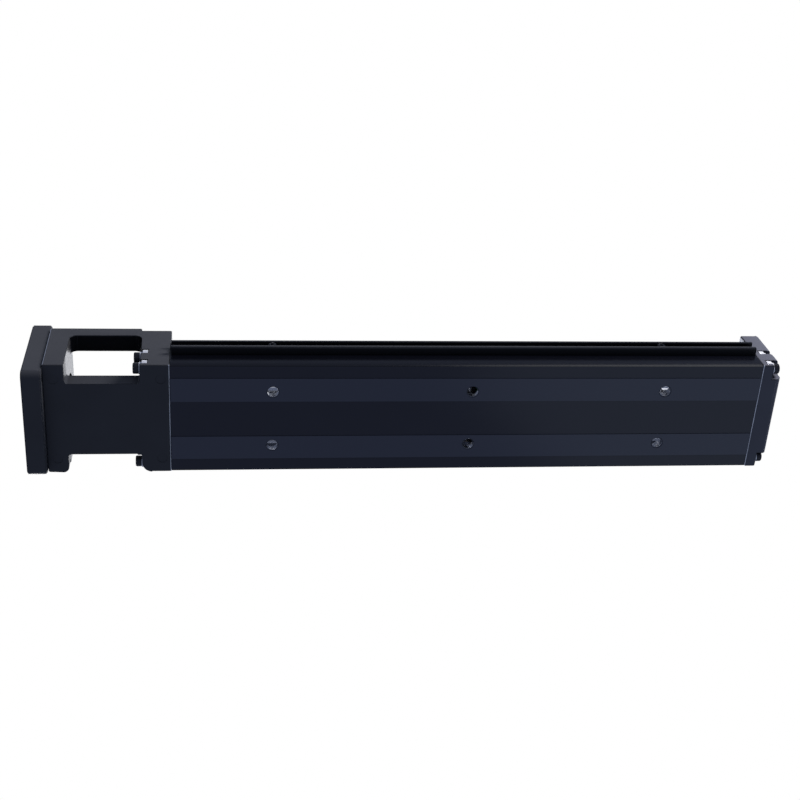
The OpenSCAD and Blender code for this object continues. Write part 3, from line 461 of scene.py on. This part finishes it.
def crease(thing, degrees=SHARP_DEG):
    """Splits the shading where faces meet at more than this angle."""
    thing.set_sharp_from_angle(angle=math.radians(degrees))


def flatten(thing):
    """Applies every modifier, so that a plain mesh is left."""
    depsgraph = bpy.context.evaluated_depsgraph_get()
    mesh = bpy.data.meshes.new_from_object(thing.evaluated_get(depsgraph))
    thing.modifiers.clear()
    thing.data = mesh
    return thing


SLOT_OF = {row["node"]: row["material_slot"] for row in frame["record"]["subparts"]}
BODIES = frame["record"]["behaviour"]["bodies"]
BODY_OF = {node: body for body, nodes in BODIES.items() for node in nodes}


def welded(node):
    """A bmesh of a CAD node with whole faces."""
    bm = bmesh.new()
    bm.from_mesh(frame["nodes"][node].data)
    bmesh.ops.remove_doubles(bm, verts=bm.verts, dist=WELD_MM * MM)
    bmesh.ops.dissolve_limit(bm, angle_limit=math.radians(FLAT_DEG), verts=bm.verts,
        edges=bm.edges)
    return bm


def mark_edges(bm, round_mm, spare):
    """Weights each sharp edge that has room for the round, and splits the rest."""
    weight = bm.edges.layers.float.new("bevel_weight_edge")
    for edge in bm.edges:
        if len(edge.link_faces) != 2:
            continue
        bend, length = math.degrees(edge.calc_face_angle(0)), edge.calc_length() / MM
        middle = (edge.verts[0].co + edge.verts[1].co) / 2 / MM
        if bend >= ROUND_DEG and length > 4 * round_mm and not (spare and spare(middle)):
            edge[weight] = 1.0
        elif bend >= ROUND_DEG or (bend > SPLIT_DEG and length > LONG_MM):
            edge.smooth = False


def dress(node, finish, round_mm=0.3, edge_finish=None, steps=2, spare=None):
    """Replaces a CAD node by a copy with rounded edges; spare says which stay."""
    bm = welded(node)
    mark_edges(bm, round_mm, spare)
    mesh = bpy.data.meshes.new(node + "_dressed")
    for face in bm.faces:
        face.smooth = True
        face.material_index = 0
    bm.to_mesh(mesh)
    bm.free()
    mesh.materials.clear()
    mesh.materials.append(finish)
    mesh.materials.append(edge_finish or finish)
    thing = new_object(node + "_dressed", mesh)
    bevel = thing.modifiers.new("round", "BEVEL")
    bevel.width = round_mm * MM
    bevel.segments = steps
    bevel.limit_method = "WEIGHT"
    bevel.use_clamp_overlap = False
    bevel.material = 1
    thing.modifiers.new("flats", "WEIGHTED_NORMAL").keep_sharp = True
    flatten(thing)
    return keep(thing, BODY_OF[node], SLOT_OF[node], node)


dress("guide_rail", COATED_RAIL, 0.25, spare=lambda p: p.z < 0.6)
dress("sensor_rail", CHANNEL_FINISH, 0.12)
dress("motor_bracket", BRACKET_FINISH, 0.5, BARE_EDGES, 1)
dress("motor_plate", PLATE_FINISH, 0.15)
dress("end_block", BLOCK_PAINTED_PALER_FINISH, 0.5, BARE_EDGES, 1)
for piece in made:
    print(piece.name, len(piece.data.polygons), "faces")

# %% [markdown]
# ## Carriage, coupling and bearings
# These pieces keep the shape that the CAD gave them and only need edges and
# their own finishes. The jaws of the coupling and its elastic spider are softer
# forms, so they get larger rounds.

# %% Pieces that only need edges
dress("carriage_block", GROUND_STEEL, 0.3)
dress("carriage_table", TABLE_FINISH, 0.25)
dress("ball_nut", GROUND_STEEL, 0.25)
dress("nut_return_caps", GREEN_PLASTIC, 0.2)
dress("drive_end_cap", GREEN_PLASTIC, 0.5, steps=3)
dress("tail_end_cap", GREEN_PLASTIC, 0.5, steps=3)
dress("drive_end_seal", RUBBER, 0.3)
dress("tail_end_seal", RUBBER, 0.3)
dress("coupling_screw_hub", TURNED_ALUMINIUM, 0.25)
dress("coupling_motor_hub", TURNED_ALUMINIUM, 0.25)
dress("coupling_spider", POLYURETHANE, 0.3, steps=3)
dress("bearing_retainer", GROUND_STEEL, 0.25)
dress("bearing_spacer", GROUND_STEEL, 0.15)
dress("lock_nut", BLACK_OXIDE, 0.2)
dress("tail_circlip", BLACK_OXIDE, 0.06)
for name in ("drive_bearing_outer_rings", "drive_bearing_inner_rings",
        "tail_bearing_outer_ring", "tail_bearing_inner_ring"):
    dress(name, BALL_STEEL, 0.12)
print(len(made), "pieces so far")

# %% [markdown]
# ## Turned shapes
# Screws, rubber stops and the grease nipple are all turned about an axis. A
# profile swept around it gives them, and a ring of the profile may be a hexagon
# or a knurl in place of a circle, which is how a socket or a grip is made in the
# same pass without any cutting.

# %% A lathe with shaped rings
def circle(radius):
    return lambda angle: radius


def hexagon(across_flats):
    sixth = math.pi / 3
    return lambda angle: across_flats / 2 / math.cos((angle + sixth / 2) % sixth - sixth / 2)


def knurl(radius, depth, ridges):
    return lambda angle: radius - depth * (0.5 + 0.5 * math.cos(angle * ridges))


def turned(name, rings, finish, segments=48):
    """Mesh from (height, ring shape) pairs in millimetres, turned about Z."""
    bm = bmesh.new()
    loops = []
    for height, shape in rings:
        loop = []
        for i in range(segments):
            angle = 2 * math.pi * i / segments
            radius = shape(angle)
            place = (radius * math.cos(angle), radius * math.sin(angle), height)
            loop.append(bm.verts.new([v * MM for v in place]))
        loops.append(loop)
    for low, high in zip(loops, loops[1:]):
        for i in range(segments):
            j = (i + 1) % segments
            bm.faces.new((low[i], low[j], high[j], high[i]))
    bm.faces.new(reversed(loops[0]))
    bm.faces.new(loops[-1])
    for face in bm.faces:
        face.smooth = True
    mesh = bpy.data.meshes.new(name)
    bm.to_mesh(mesh)
    bm.free()
    crease(mesh)
    mesh.materials.append(finish)
    return mesh


def socket_screw(name, head_d, head_h, key, shank_d, shank_len, finish):
    """Socket head cap screw; its head stands on z = 0 and its shank goes down."""
    r, s, edge = head_d / 2, shank_d / 2, head_h * 0.09
    depth = head_h * 0.55
    knurled = knurl(r, 0.07, 24)
    rings = [(-shank_len, circle(s - 0.25)), (-shank_len + 0.3, circle(s)), (0, circle(s)),
        (0, circle(r - edge)), (edge, circle(r - 0.03)), (edge * 1.4, knurled),
        (head_h - edge * 2.2, knurled), (head_h - edge * 1.8, circle(r - 0.03)),
        (head_h - edge * 0.5, circle(r - edge * 0.6)), (head_h, circle(r - edge * 1.6)),
        (head_h, hexagon(key * 1.16)), (head_h - 0.12, hexagon(key)),
        (head_h - depth, hexagon(key)),
        (head_h - depth - key * 0.2, circle(0.02))]
    return turned(name, rings, finish, 96)


# Head across, head height, key and shank across, in millimetres.
M2, M2_LOW, M2_5 = (3.8, 2, 1.5, 1.5), (3.8, 1.2, 1.3, 1.5), (4.5, 2.5, 2, 1.95)
M3, M4, ROUND_HEAD = (5.5, 3, 2.5, 2.4), (7, 4, 3, 3.2), (4.1, 2.3, 1.5, 1.5)
trial = socket_screw("trial", *M3, 8, BLACK_OXIDE)
print("one M3 screw has", len(trial.polygons), "faces")

# %% [markdown]
# ## Copies on points
# Identical fasteners come from one mesh and a list of places. A Geometry Nodes
# tree instances the mesh on the points, points each copy along one direction
# and gives it a random turn about its own axis, because no fitter lines the
# sockets up. Instances are lost on export, so the tree makes them real.

# %% The tree that places fasteners
def geometry_board(name, inputs):
    """A geometry tree with named inputs, and the board to fill it."""
    tree = bpy.data.node_groups.new(name, "GeometryNodeTree")
    tree.interface.new_socket("Geometry", in_out="INPUT", socket_type="NodeSocketGeometry")
    for label, kind in inputs:
        tree.interface.new_socket(label, in_out="INPUT", socket_type=kind)
    tree.interface.new_socket("Geometry", in_out="OUTPUT", socket_type="NodeSocketGeometry")
    board = Board(tree)
    source = tree.nodes.new("NodeGroupInput")
    return board, {s.name: Wire(board, s) for s in source.outputs if s.name}


def fasteners_tree():
    board, given = geometry_board("copies on points", [("Part", "NodeSocketObject"),
        ("Head points to", "NodeSocketVector"), ("Largest turn", "NodeSocketFloat"),
        ("Seed", "NodeSocketInt"), ("Finish", "NodeSocketMaterial")])
    points = board.add("GeometryNodeMeshToPoints", {}, {"Mesh": given["Geometry"]})
    aim = board.add("FunctionNodeAlignRotationToVector", {"axis": "Z"},
        {"Vector": given["Head points to"]})
    turn = board.add("FunctionNodeRandomValue", {"data_type": "FLOAT"},
        {2: 0.0, 3: given["Largest turn"], "Seed": given["Seed"]}, 1)
    spin = board.add("FunctionNodeAxisAngleToRotation", {}, {"Axis": (0, 0, 1), "Angle": turn})
    facing = board.add("FunctionNodeRotateRotation", {"rotation_space": "LOCAL"},
        {"Rotation": aim, "Rotate By": spin})
    part = board.add("GeometryNodeObjectInfo", {}, {"Object": given["Part"]}, "Geometry")
    copies = board.add("GeometryNodeInstanceOnPoints", {},
        {"Points": points, "Instance": part, "Rotation": facing})
    real = board.add("GeometryNodeRealizeInstances", {}, {"Geometry": copies})
    dressed = board.add("GeometryNodeSetMaterial", {},
        {"Geometry": real, "Material": given["Finish"]})
    board.add("NodeGroupOutput", {}, {"Geometry": dressed})
    return board.tree


def run_tree(name, mesh, tree, values):
    """Runs a tree on a mesh and leaves a plain mesh at the origin."""
    thing = new_object(name, mesh)
    modifier = thing.modifiers.new("tree", "NODES")
    modifier.node_group = tree
    sockets = {s.name: s.identifier for s in tree.interface.items_tree if s.in_out == "INPUT"}
    for label, value in values.items():
        modifier[sockets[label]] = value
    thing.update_tag()
    bpy.context.view_layer.update()
    return flatten(thing)


def point_mesh(name, points):
    mesh = bpy.data.meshes.new(name)
    mesh.from_pydata([tuple(v * MM for v in p) for p in points], [], [])
    return mesh


FASTENERS = fasteners_tree()
# Largest random turns, in radians: a sixth of a turn for a hexagon, and nearly a full one.
ANY_SIXTH, ANY_TURN = math.pi / 3, 6.2


def placed(name, mesh, places, direction, largest_turn, seed, finish, sharp=SHARP_DEG):
    """Runs the tree for one mesh on a list of places."""
    one = new_object(name + "_one", mesh)
    thing = run_tree(name, point_mesh(name, places), FASTENERS, {"Part": one,
        "Head points to": direction, "Largest turn": largest_turn, "Seed": seed,
        "Finish": finish})
    if sharp:
        crease(thing.data, sharp)
    bpy.data.objects.remove(one)
    return thing


def copies(node, mesh, places, direction, largest_turn, seed, finish, sharp=SHARP_DEG):
    """Places a mesh and keeps the result for a CAD node."""
    thing = placed(node + "_set", mesh, places, direction, largest_turn, seed, finish, sharp)
    return keep(thing, BODY_OF[node], SLOT_OF[node], node)


print("the tree has", len(FASTENERS.nodes), "nodes")

# %% [markdown]
# ## Where the fasteners go
# A CAD node can hold several separate solids, one for each screw. Walking over
# connected vertices splits them, and each solid's box gives the place of its
# head. So no place is written down twice.

# %% Separate solids of a node
def solids(node):
    """Boxes, in millimetres, of the separate solids in a CAD node."""
    bm = welded(node)
    seen, boxes = set(), []
    for start in bm.verts:
        if start in seen:
            continue
        group, todo = [], [start]
        seen.add(start)
        while todo:
            vert = todo.pop()
            group.append(vert.co / MM)
            for edge in vert.link_edges:
                other = edge.other_vert(vert)
                if other not in seen:
                    seen.add(other)
                    todo.append(other)
        boxes.append((Vector([min(p[k] for p in group) for k in range(3)]),
            Vector([max(p[k] for p in group) for k in range(3)])))
    bm.free()
    return boxes


def head_seats(node, direction, head_h):
    """Where each head stands, and the length of the shank under it."""
    axis = max(range(3), key=lambda k: abs(direction[k]))
    sign = 1 if direction[axis] > 0 else -1
    seats, shank = [], 0
    for low, high in solids(node):
        place = (low + high) / 2
        top, tip = (high[axis], low[axis]) if sign > 0 else (low[axis], high[axis])
        place[axis] = top - sign * head_h
        seats.append(place)
        shank = abs(place[axis] - tip)
    return seats, shank


def fit_screws(node, direction, size, finish, seed):
    """Replaces a node of screws by detailed ones in the same places."""
    seats, shank = head_seats(node, direction, size[1])
    mesh = socket_screw(node + "_one", *size, shank, finish)
    print(node, len(seats), "screws, shank", round(shank, 1))
    return copies(node, mesh, seats, direction, ANY_SIXTH, seed, finish)


fit_screws("bracket_screws", (-1, 0, 0), M3, BLACK_OXIDE, 1)
fit_screws("end_block_screws", (1, 0, 0), M3, BLACK_OXIDE, 2)
fit_screws("plate_screws", (-1, 0, 0), M4, BLACK_OXIDE, 3)
fit_screws("retainer_screws", (1, 0, 0), M2, BLACK_OXIDE, 4)
fit_screws("table_screws", (0, 0, 1), M4, BLACK_OXIDE, 5)
fit_screws("coupling_clamp_screws", (0, -1, 0), M2_5, BLACK_OXIDE, 6)
fit_screws("sensor_rail_screws", (0, -1, 0), ROUND_HEAD, PAINTED_GLINT_OXIDE, 7)

# %% [markdown]
# ## Screws that hold the end caps
# The caps' screws face both ways, so their set is made in two runs of the tree,
# and two pieces stand for the one CAD node.

# %% Cap screws
def both_ways(node, size, finish, seed):
    """Two pieces, one for the screws that face each way along X."""
    boxes, head_h = solids(node), size[1]
    middle = sum((low.x + high.x) / 2 for low, high in boxes) / len(boxes)
    parts = []
    for sign, suffix in ((-1, "_a"), (1, "_b")):
        side = [b for b in boxes if ((b[0].x + b[1].x) / 2 - middle) * sign > 0]
        seats = [Vector(((high.x - head_h) if sign > 0 else (low.x + head_h),
            (low.y + high.y) / 2, (low.z + high.z) / 2)) for low, high in side]
        shank = side[0][1].x - side[0][0].x - head_h
        mesh = socket_screw(node, *size, shank, finish)
        parts.append(placed(node + suffix, mesh, seats, (sign, 0, 0), ANY_SIXTH,
            seed + sign, finish))
    return parts


for part in both_ways("cap_screws", M2_LOW, ZINC, 20):
    keep(part, "carriage", SLOT_OF["cap_screws"], "cap_screws")
print("cap screws are in", [p.name for p in made[-2:]])

# %% [markdown]
# ## Washers, stops and balls
# The same tree places the washers under the heads, the rubber stops and every
# ball: only the mesh on the points changes. A spring washer is a square wire
# bent to a ring whose ends are a little apart along the axis.

# %% Spring washers
def washer_mesh(name, hole_r, flat_r, flat_t, spring_r, spring_t, finish):
    """A flat washer on z = 0 with a split spring washer on it."""
    bend, top = 0.08, flat_t + spring_t
    flat = [(0, hole_r), (0, flat_r - bend), (bend, flat_r), (flat_t - bend, flat_r),
        (flat_t, flat_r - bend), (flat_t, hole_r), (0, hole_r)]
    coil = [(flat_t, hole_r), (flat_t, spring_r), (top, spring_r), (top, hole_r), (flat_t, hole_r)]
    bm = bmesh.new()
    segments = 48
    angles = [2 * math.pi * (i + 0.5) / segments for i in range(segments)]
    for rings, gap in ((flat, 0), (coil, 1)):
        loops = [[bm.verts.new((r * math.cos(a) * MM, r * math.sin(a) * MM, h * MM))
            for a in angles] for h, r in rings]
        for low, high in zip(loops, loops[1:]):
            for i in range(segments - gap):
                j = (i + 1) % segments
                bm.faces.new((low[i], low[j], high[j], high[i]))
        if gap:
            bm.faces.new([loop[0] for loop in loops[:-1]])
            bm.faces.new([loop[segments - 1] for loop in reversed(loops[:-1])])
    bmesh.ops.remove_doubles(bm, verts=bm.verts, dist=WELD_MM / 2 * MM)
    bmesh.ops.recalc_face_normals(bm, faces=bm.faces)
    mesh = bpy.data.meshes.new(name)
    bm.to_mesh(mesh)
    bm.free()
    mesh.materials.append(finish)
    return mesh


# Hole, flat washer's radius and thickness, spring washer's radius and thickness.
WASHER = (1.6, 3.9, 2.5, 3.0, 1.4)


def washer_seats(node, toward):
    """Seats of the flat washers, whose boxes are the thin wide ones."""
    flats = [b for b in solids(node) if b[1].y - b[0].y > 2 * WASHER[3] + 0.3]
    return [Vector((b[1].x if toward < 0 else b[0].x, (b[0].y + b[1].y) / 2,
        (b[0].z + b[1].z) / 2)) for b in flats]


for node, toward, seed in (("bracket_washers", -1, 31), ("end_block_washers", 1, 32)):
    places = washer_seats(node, toward)
    mesh = washer_mesh(node, *WASHER, ZINC)
    copies(node, mesh, places, (toward, 0, 0), ANY_TURN, seed, ZINC)
    print(node, len(places), "washers")

# %% [markdown]
# ## Balls
# The balls are the plainest repeat of all. Their places come from the CAD, and
# their mesh is an icosphere with enough faces to stay round in a close view.

# %% Balls
BALL_DETAIL = 3


def ball_mesh(name, radius, finish):
    bm = bmesh.new()
    bmesh.ops.create_icosphere(bm, subdivisions=BALL_DETAIL, radius=radius * MM)
    for face in bm.faces:
        face.smooth = True
    mesh = bpy.data.meshes.new(name)
    bm.to_mesh(mesh)
    bm.free()
    mesh.materials.append(finish)
    return mesh


for node in ("drive_bearing_balls", "tail_bearing_balls", "linear_balls"):
    boxes = solids(node)
    radius = (boxes[0][1].x - boxes[0][0].x) / 2
    centres = [(low + high) / 2 for low, high in boxes]
    mesh = ball_mesh(node, radius, BALL_STEEL)
    copies(node, mesh, centres, (0, 0, 1), 0.0, 40, BALL_STEEL, sharp=0)
    print(node, len(centres), "balls of", round(2 * radius, 2), "mm")

# %% [markdown]
# ## Rubber stops, set screw and grease nipple
# Small turned pieces. The stops have a rounded nose that the carriage meets. The
# nipple has a hexagon for a spanner and a ball-shaped head for the grease gun.

# %% Small turned pieces
stop_low, stop_high = rail_box("drive_bumpers")
STOP_PIN, STOP_R = 4.0, 3.5
stop_len = stop_high.x - stop_low.x - STOP_PIN
stop_rings = [(-STOP_PIN, circle(1.3)), (-STOP_PIN + 0.3, circle(1.5)), (0, circle(1.5)),
    (0, circle(STOP_R - 0.3)), (0.3, circle(STOP_R)), (stop_len - 2.6, circle(STOP_R)),
    (stop_len - 1.8, circle(STOP_R - 0.15)), (stop_len - 1.0, circle(STOP_R - 0.6)),
    (stop_len - 0.4, circle(STOP_R - 1.2)), (stop_len - 0.1, circle(STOP_R - 1.9)),
    (stop_len, circle(1.0))]
for node, toward in (("drive_bumpers", 1), ("tail_bumpers", -1)):
    seats = [Vector(((b[0].x + STOP_PIN) if toward > 0 else (b[1].x - STOP_PIN),
        (b[0].y + b[1].y) / 2, (b[0].z + b[1].z) / 2)) for b in solids(node)]
    mesh = turned(node, stop_rings, RUBBER)
    copies(node, mesh, seats, (toward, 0, 0), 0.0, 50, RUBBER, sharp=60)

NIPPLE_HEAD = 4.2
nipple_low, nipple_high = rail_box("grease_nipple")
nipple_seat = Vector((nipple_low.x + NIPPLE_HEAD, (nipple_low.y + nipple_high.y) / 2,
    (nipple_low.z + nipple_high.z) / 2))
nipple_rings = [(-6, circle(1.3)), (-5.8, circle(1.5)), (0, circle(1.5)), (0, hexagon(3.7)),
    (1.2, hexagon(3.7)), (1.35, circle(1.5)), (1.8, circle(1.1)), (2.4, circle(1.05)),
    (2.8, circle(1.4)), (3.2, circle(1.6)), (3.6, circle(1.5)), (4.0, circle(1.1)),
    (NIPPLE_HEAD, circle(0.7)), (NIPPLE_HEAD, circle(0.35)), (4.0, circle(0.02))]
nipple = turned("nipple", nipple_rings, BRASS)
copies("grease_nipple", nipple, [nipple_seat], (-1, 0, 0), 0.0, 51, BRASS)

lock_low, lock_high = rail_box("nut_lock_screw")
lock_seat = Vector(((lock_low.x + lock_high.x) / 2, 0, lock_high.z))
lock_len = lock_high.z - lock_low.z
lock_rings = [(-lock_len, circle(1.2)), (-lock_len + 0.4, circle(1.6)), (-0.2, circle(1.6)),
    (0, circle(1.4)), (0, hexagon(2.2)), (-0.1, hexagon(2.0)), (-1.5, hexagon(2.0)),
    (-1.7, circle(0.02))]
lock = turned("lock", lock_rings, BLACK_OXIDE)
copies("nut_lock_screw", lock, [lock_seat], (0, 0, 1), 0.0, 52, BLACK_OXIDE)
print("small pieces are in place")

# %% [markdown]
# ## The ball screw's thread
# The thread is a main shape that follows a rule, so a tree makes it from a flat
# grid. Each grid point gets a place across one lead and an angle of turn. The
# grid is wound on the cylinder as a ribbon whose edges meet, so its lines run
# with the helix and the groove's arc stays crisp. The ribbon's two ends are
# pressed flat against the shoulders.

# %% The tree that winds a thread
LEAD, BALL_R, GROOVE, THREAD_CHAMFER, THREAD_WELD_MM = 10.0, 1.3, 0.85, 0.6, 0.0004


def thread_tree():
    lengths = ("Radius", "Lead", "Ball radius", "Groove depth", "First", "Last",
        "Axis height", "Chamfer")
    board, given = geometry_board("wound thread", [
        *((label, "NodeSocketFloat") for label in lengths),
        ("Points across", "NodeSocketInt"), ("Points around", "NodeSocketInt"),
        ("Finish", "NodeSocketMaterial")])
    turns = (given["Last"] - given["First"]) / given["Lead"] + 1
    rows = turns * given["Points around"]
    grid = board.add("GeometryNodeMeshGrid", {}, {"Size X": 1.0, "Size Y": 1.0,
        "Vertices X": given["Points across"], "Vertices Y": rows})
    split = board.add("ShaderNodeSeparateXYZ", {}, {0: board.add("GeometryNodeInputPosition")})
    across = split + 0.5
    wound = (Wire(board, split.socket.node.outputs[1]) + 0.5) * turns
    angle = wound * (2 * math.pi)
    place = (across + wound - 1) * given["Lead"] + given["First"]
    place = place.do("MAXIMUM", given["First"]).do("MINIMUM", given["Last"])
    off = (across - 0.5) * given["Lead"]
    arc = (given["Ball radius"] ** 2 - off ** 2).do("MAXIMUM", 0.0) ** 0.5
    sunk = (arc - (given["Ball radius"] - given["Groove depth"])).do("MAXIMUM", 0.0)
    edge_a = (given["First"] + given["Chamfer"] - place).do("MAXIMUM", 0.0)
    edge_b = (place - given["Last"] + given["Chamfer"]).do("MAXIMUM", 0.0)
    radius = given["Radius"] - sunk.do("MAXIMUM", edge_a.do("MAXIMUM", edge_b))
    point = board.add("ShaderNodeCombineXYZ", {}, {0: place, 1: radius * angle.do("COSINE"),
        2: radius * angle.do("SINE") + given["Axis height"]})
    wrapped = board.add("GeometryNodeSetPosition", {}, {"Geometry": grid, "Position": point})
    joined = board.add("GeometryNodeMergeByDistance", {},
        {"Geometry": wrapped, "Distance": THREAD_WELD_MM * MM})
    smooth = board.add("GeometryNodeSetShadeSmooth", {}, {"Geometry": joined})
    done = board.add("GeometryNodeSetMaterial", {},
        {"Geometry": smooth, "Material": given["Finish"]})
    real = board.add("GeometryNodeRealizeInstances", {}, {"Geometry": done})
    board.add("NodeGroupOutput", {}, {"Geometry": real})
    return board.tree


SCREW_LOW, SCREW_HIGH = rail_box("ball_screw")
SCREW_R = (SCREW_HIGH.z - SCREW_LOW.z) / 2
SHOULDER = rail_box("bearing_spacer")[1].x
TAIL_SHOULDER = RAIL_HIGH.x - (SHOULDER - RAIL_LOW.x)
thread = run_tree("screw_thread", point_mesh("thread", [(0, 0, 0)]), thread_tree(), {
    "Radius": SCREW_R * MM, "Lead": LEAD * MM, "Ball radius": BALL_R * MM,
    "Groove depth": GROOVE * MM, "First": SHOULDER * MM, "Last": TAIL_SHOULDER * MM,
    "Axis height": AXIS_Z * MM, "Points across": 41, "Points around": 36,
    "Chamfer": THREAD_CHAMFER * MM, "Finish": SCREW_STEEL})
crease(thread.data, 32)
turns = (TAIL_SHOULDER - SHOULDER) / LEAD
print("thread of", round(turns, 1), "turns,", len(thread.data.polygons), "faces")

# %% [markdown]
# ## The screw's journals
# Beyond the thread the screw steps down to the bearing seats and the seat for
# the coupling. One turned profile for each end does it. The ends of the thread's
# ribbon are open, so the journals' shoulders close them.

# %% Journals
# Bearing journal, thin ends, circlip groove and centre hole, as radii.
JOURNAL_R, THIN_R, CLIP_R, CENTRE_R = 4.0, 3.0, 2.6, 0.8


def journal(name, rings, seat_x, direction):
    mesh = turned(name, rings, GROUND_STEEL, 64)
    return placed(name, mesh, [(seat_x, 0, AXIS_Z)], direction, 0.0, 0, GROUND_STEEL)


drive_len = SHOULDER - SCREW_LOW.x
neck_len = SHOULDER - (rail_box("coupling_screw_hub")[1].x + 1.0)
tail_len = SCREW_HIGH.x - TAIL_SHOULDER
clip_at = rail_box("tail_circlip")[0].x - TAIL_SHOULDER
drive_rings = [(0, circle(SCREW_R - 0.55)), (0, circle(JOURNAL_R)),
    (neck_len - 0.2, circle(JOURNAL_R)), (neck_len, circle(JOURNAL_R - 0.2)),
    (neck_len, circle(THIN_R)), (drive_len - 0.5, circle(THIN_R)),
    (drive_len, circle(THIN_R - 0.4)), (drive_len, circle(CENTRE_R)),
    (drive_len - 0.8, circle(0.02))]
tail_rings = [(0, circle(SCREW_R - 0.55)), (0, circle(THIN_R)), (clip_at, circle(THIN_R)),
    (clip_at, circle(CLIP_R)), (clip_at + 0.8, circle(CLIP_R)), (clip_at + 0.8, circle(THIN_R)),
    (tail_len - 0.4, circle(THIN_R)), (tail_len, circle(THIN_R - 0.3)),
    (tail_len, circle(CENTRE_R)), (tail_len - 0.8, circle(0.02))]
drive_journal = journal("screw_drive_journal", drive_rings, SHOULDER, (-1, 0, 0))
tail_journal = journal("screw_tail_journal", tail_rings, TAIL_SHOULDER, (1, 0, 0))
for piece in (thread, drive_journal, tail_journal):
    keep(piece, "screw", SLOT_OF["ball_screw"], "ball_screw")
print("journals", round(drive_len, 1), "and", round(tail_len, 1), "mm long")

# %% [markdown]
# ## Floor, light and surroundings
# The floor lies under the lowest edge of the motor plate. The main view looks up
# from below it, so the floor shows only from above: it is seen by the camera
# alone, its underside is clear, and it throws no light or shade on the piece.
# The surroundings are white to the camera. To everything else they are a dim
# blue grey that gets paler straight overhead.

# %% Floor and world
def floor_finish():
    board = Finish("pale_floor")
    cloud = board.noise((0.002, 0.002, 0.002), 2)
    pale = board.mix((0.80, 0.80, 0.81), (0.84, 0.84, 0.85), cloud)
    top = board.add("ShaderNodeBsdfDiffuse", {}, {"Color": pale})
    clear = board.add("ShaderNodeBsdfTransparent")
    side = board.add("ShaderNodeNewGeometry", out="Backfacing")
    both = board.add("ShaderNodeMixShader", {}, {0: side, 1: top, 2: clear})
    board.add("ShaderNodeOutputMaterial", {}, {"Surface": both})
    return board.material


HALF_FLOOR = 2.0
floor_mesh = bpy.data.meshes.new("floor")
floor_z = CAD_LOW.z - 0.05 * MM
signs = ((-1, -1), (1, -1), (1, 1), (-1, 1))
corners = [(x * HALF_FLOOR, y * HALF_FLOOR, floor_z) for x, y in signs]
floor_mesh.from_pydata(corners, [], [(0, 1, 2, 3)])
floor_mesh.materials.append(floor_finish())
floor = new_object("floor", floor_mesh)
floor.visible_diffuse = floor.visible_glossy = floor.visible_shadow = False

world = bpy.data.worlds.new("surroundings")
bpy.context.scene.world = world
world.use_nodes = True
sky = Board(world.node_tree)
direction = sky.add("ShaderNodeTexCoord", out="Generated")
up = Wire(sky, sky.add("ShaderNodeSeparateXYZ", {}, {0: direction}).socket.node.outputs[2])
glow = sky.add("ShaderNodeMix", {"data_type": "RGBA"}, {0: sky.step(up, 0.88, 1.0),
    6: (0.17, 0.20, 0.29, 1), 7: (0.76, 0.79, 0.88, 1)}, 2)
seen = sky.add("ShaderNodeLightPath", out="Is Camera Ray")
shown = sky.add("ShaderNodeMix", {"data_type": "RGBA"}, {0: seen, 6: glow, 7: (1, 1, 1, 1)}, 2)
lit = sky.add("ShaderNodeBackground", {}, {"Color": shown, "Strength": 1.0})
sky.add("ShaderNodeOutputWorld", {}, {"Surface": lit})
print("floor at", round(floor_z / MM, 2), "mm")

# %% [markdown]
# ## Lamps
# The key stands beside the sensor rail, level with the module and nearer its tail
# end, so the sides that face it get paler from left to right. A faint lamp above it
# edges the lips, a wide blue one under the tail end lights the underside, and the
# last two are for the other views: one over the carriage and one on the far side.
# The key stays out of reflections, or it would glare in the table from behind.

# %% Lamps
def soft_lamp(name, place, target, width, height, watts, colour=(1, 1, 1)):
    data = bpy.data.lights.new(name, "AREA")
    data.shape = "RECTANGLE"
    data.size, data.size_y = width, height
    data.energy = watts
    data.color = colour
    lamp = bpy.data.objects.new(name, data)
    bpy.context.scene.collection.objects.link(lamp)
    lamp.location = place
    lamp.rotation_mode = "QUATERNION"
    lamp.rotation_quaternion = (Vector(target) - Vector(place)).to_track_quat("-Z", "Y")
    return lamp


MIDDLE = (0, 0, 0.02)
soft_lamp("low_side", (0.33, -0.67, 0.46), (0.12, 0, 0), 0.38, 0.25, 0.35)
soft_lamp("under_tail", (0.55, 0.35, -0.75), (0.1, 0, 0), 0.6, 0.6, 0.42, (0.72, 0.84, 1.0))
key_side = soft_lamp("key_side", (0.45, -0.5, 0.15), MIDDLE, 0.3, 0.25, 8, (1.0, 0.98, 1.0))
key_side.visible_glossy = False
soft_lamp("key_above", (0.3, 0.5, 0.9), (0.05, 0, 0.02), 0.7, 0.7, 3)
soft_lamp("far_side", (-0.6, 0.8, 0.5), MIDDLE, 0.6, 0.4, 7)

# %% CAD nodes still shown
unfinished = [name for name, thing in frame["nodes"].items() if not thing.hide_render]
print("CAD nodes still shown:", unfinished)
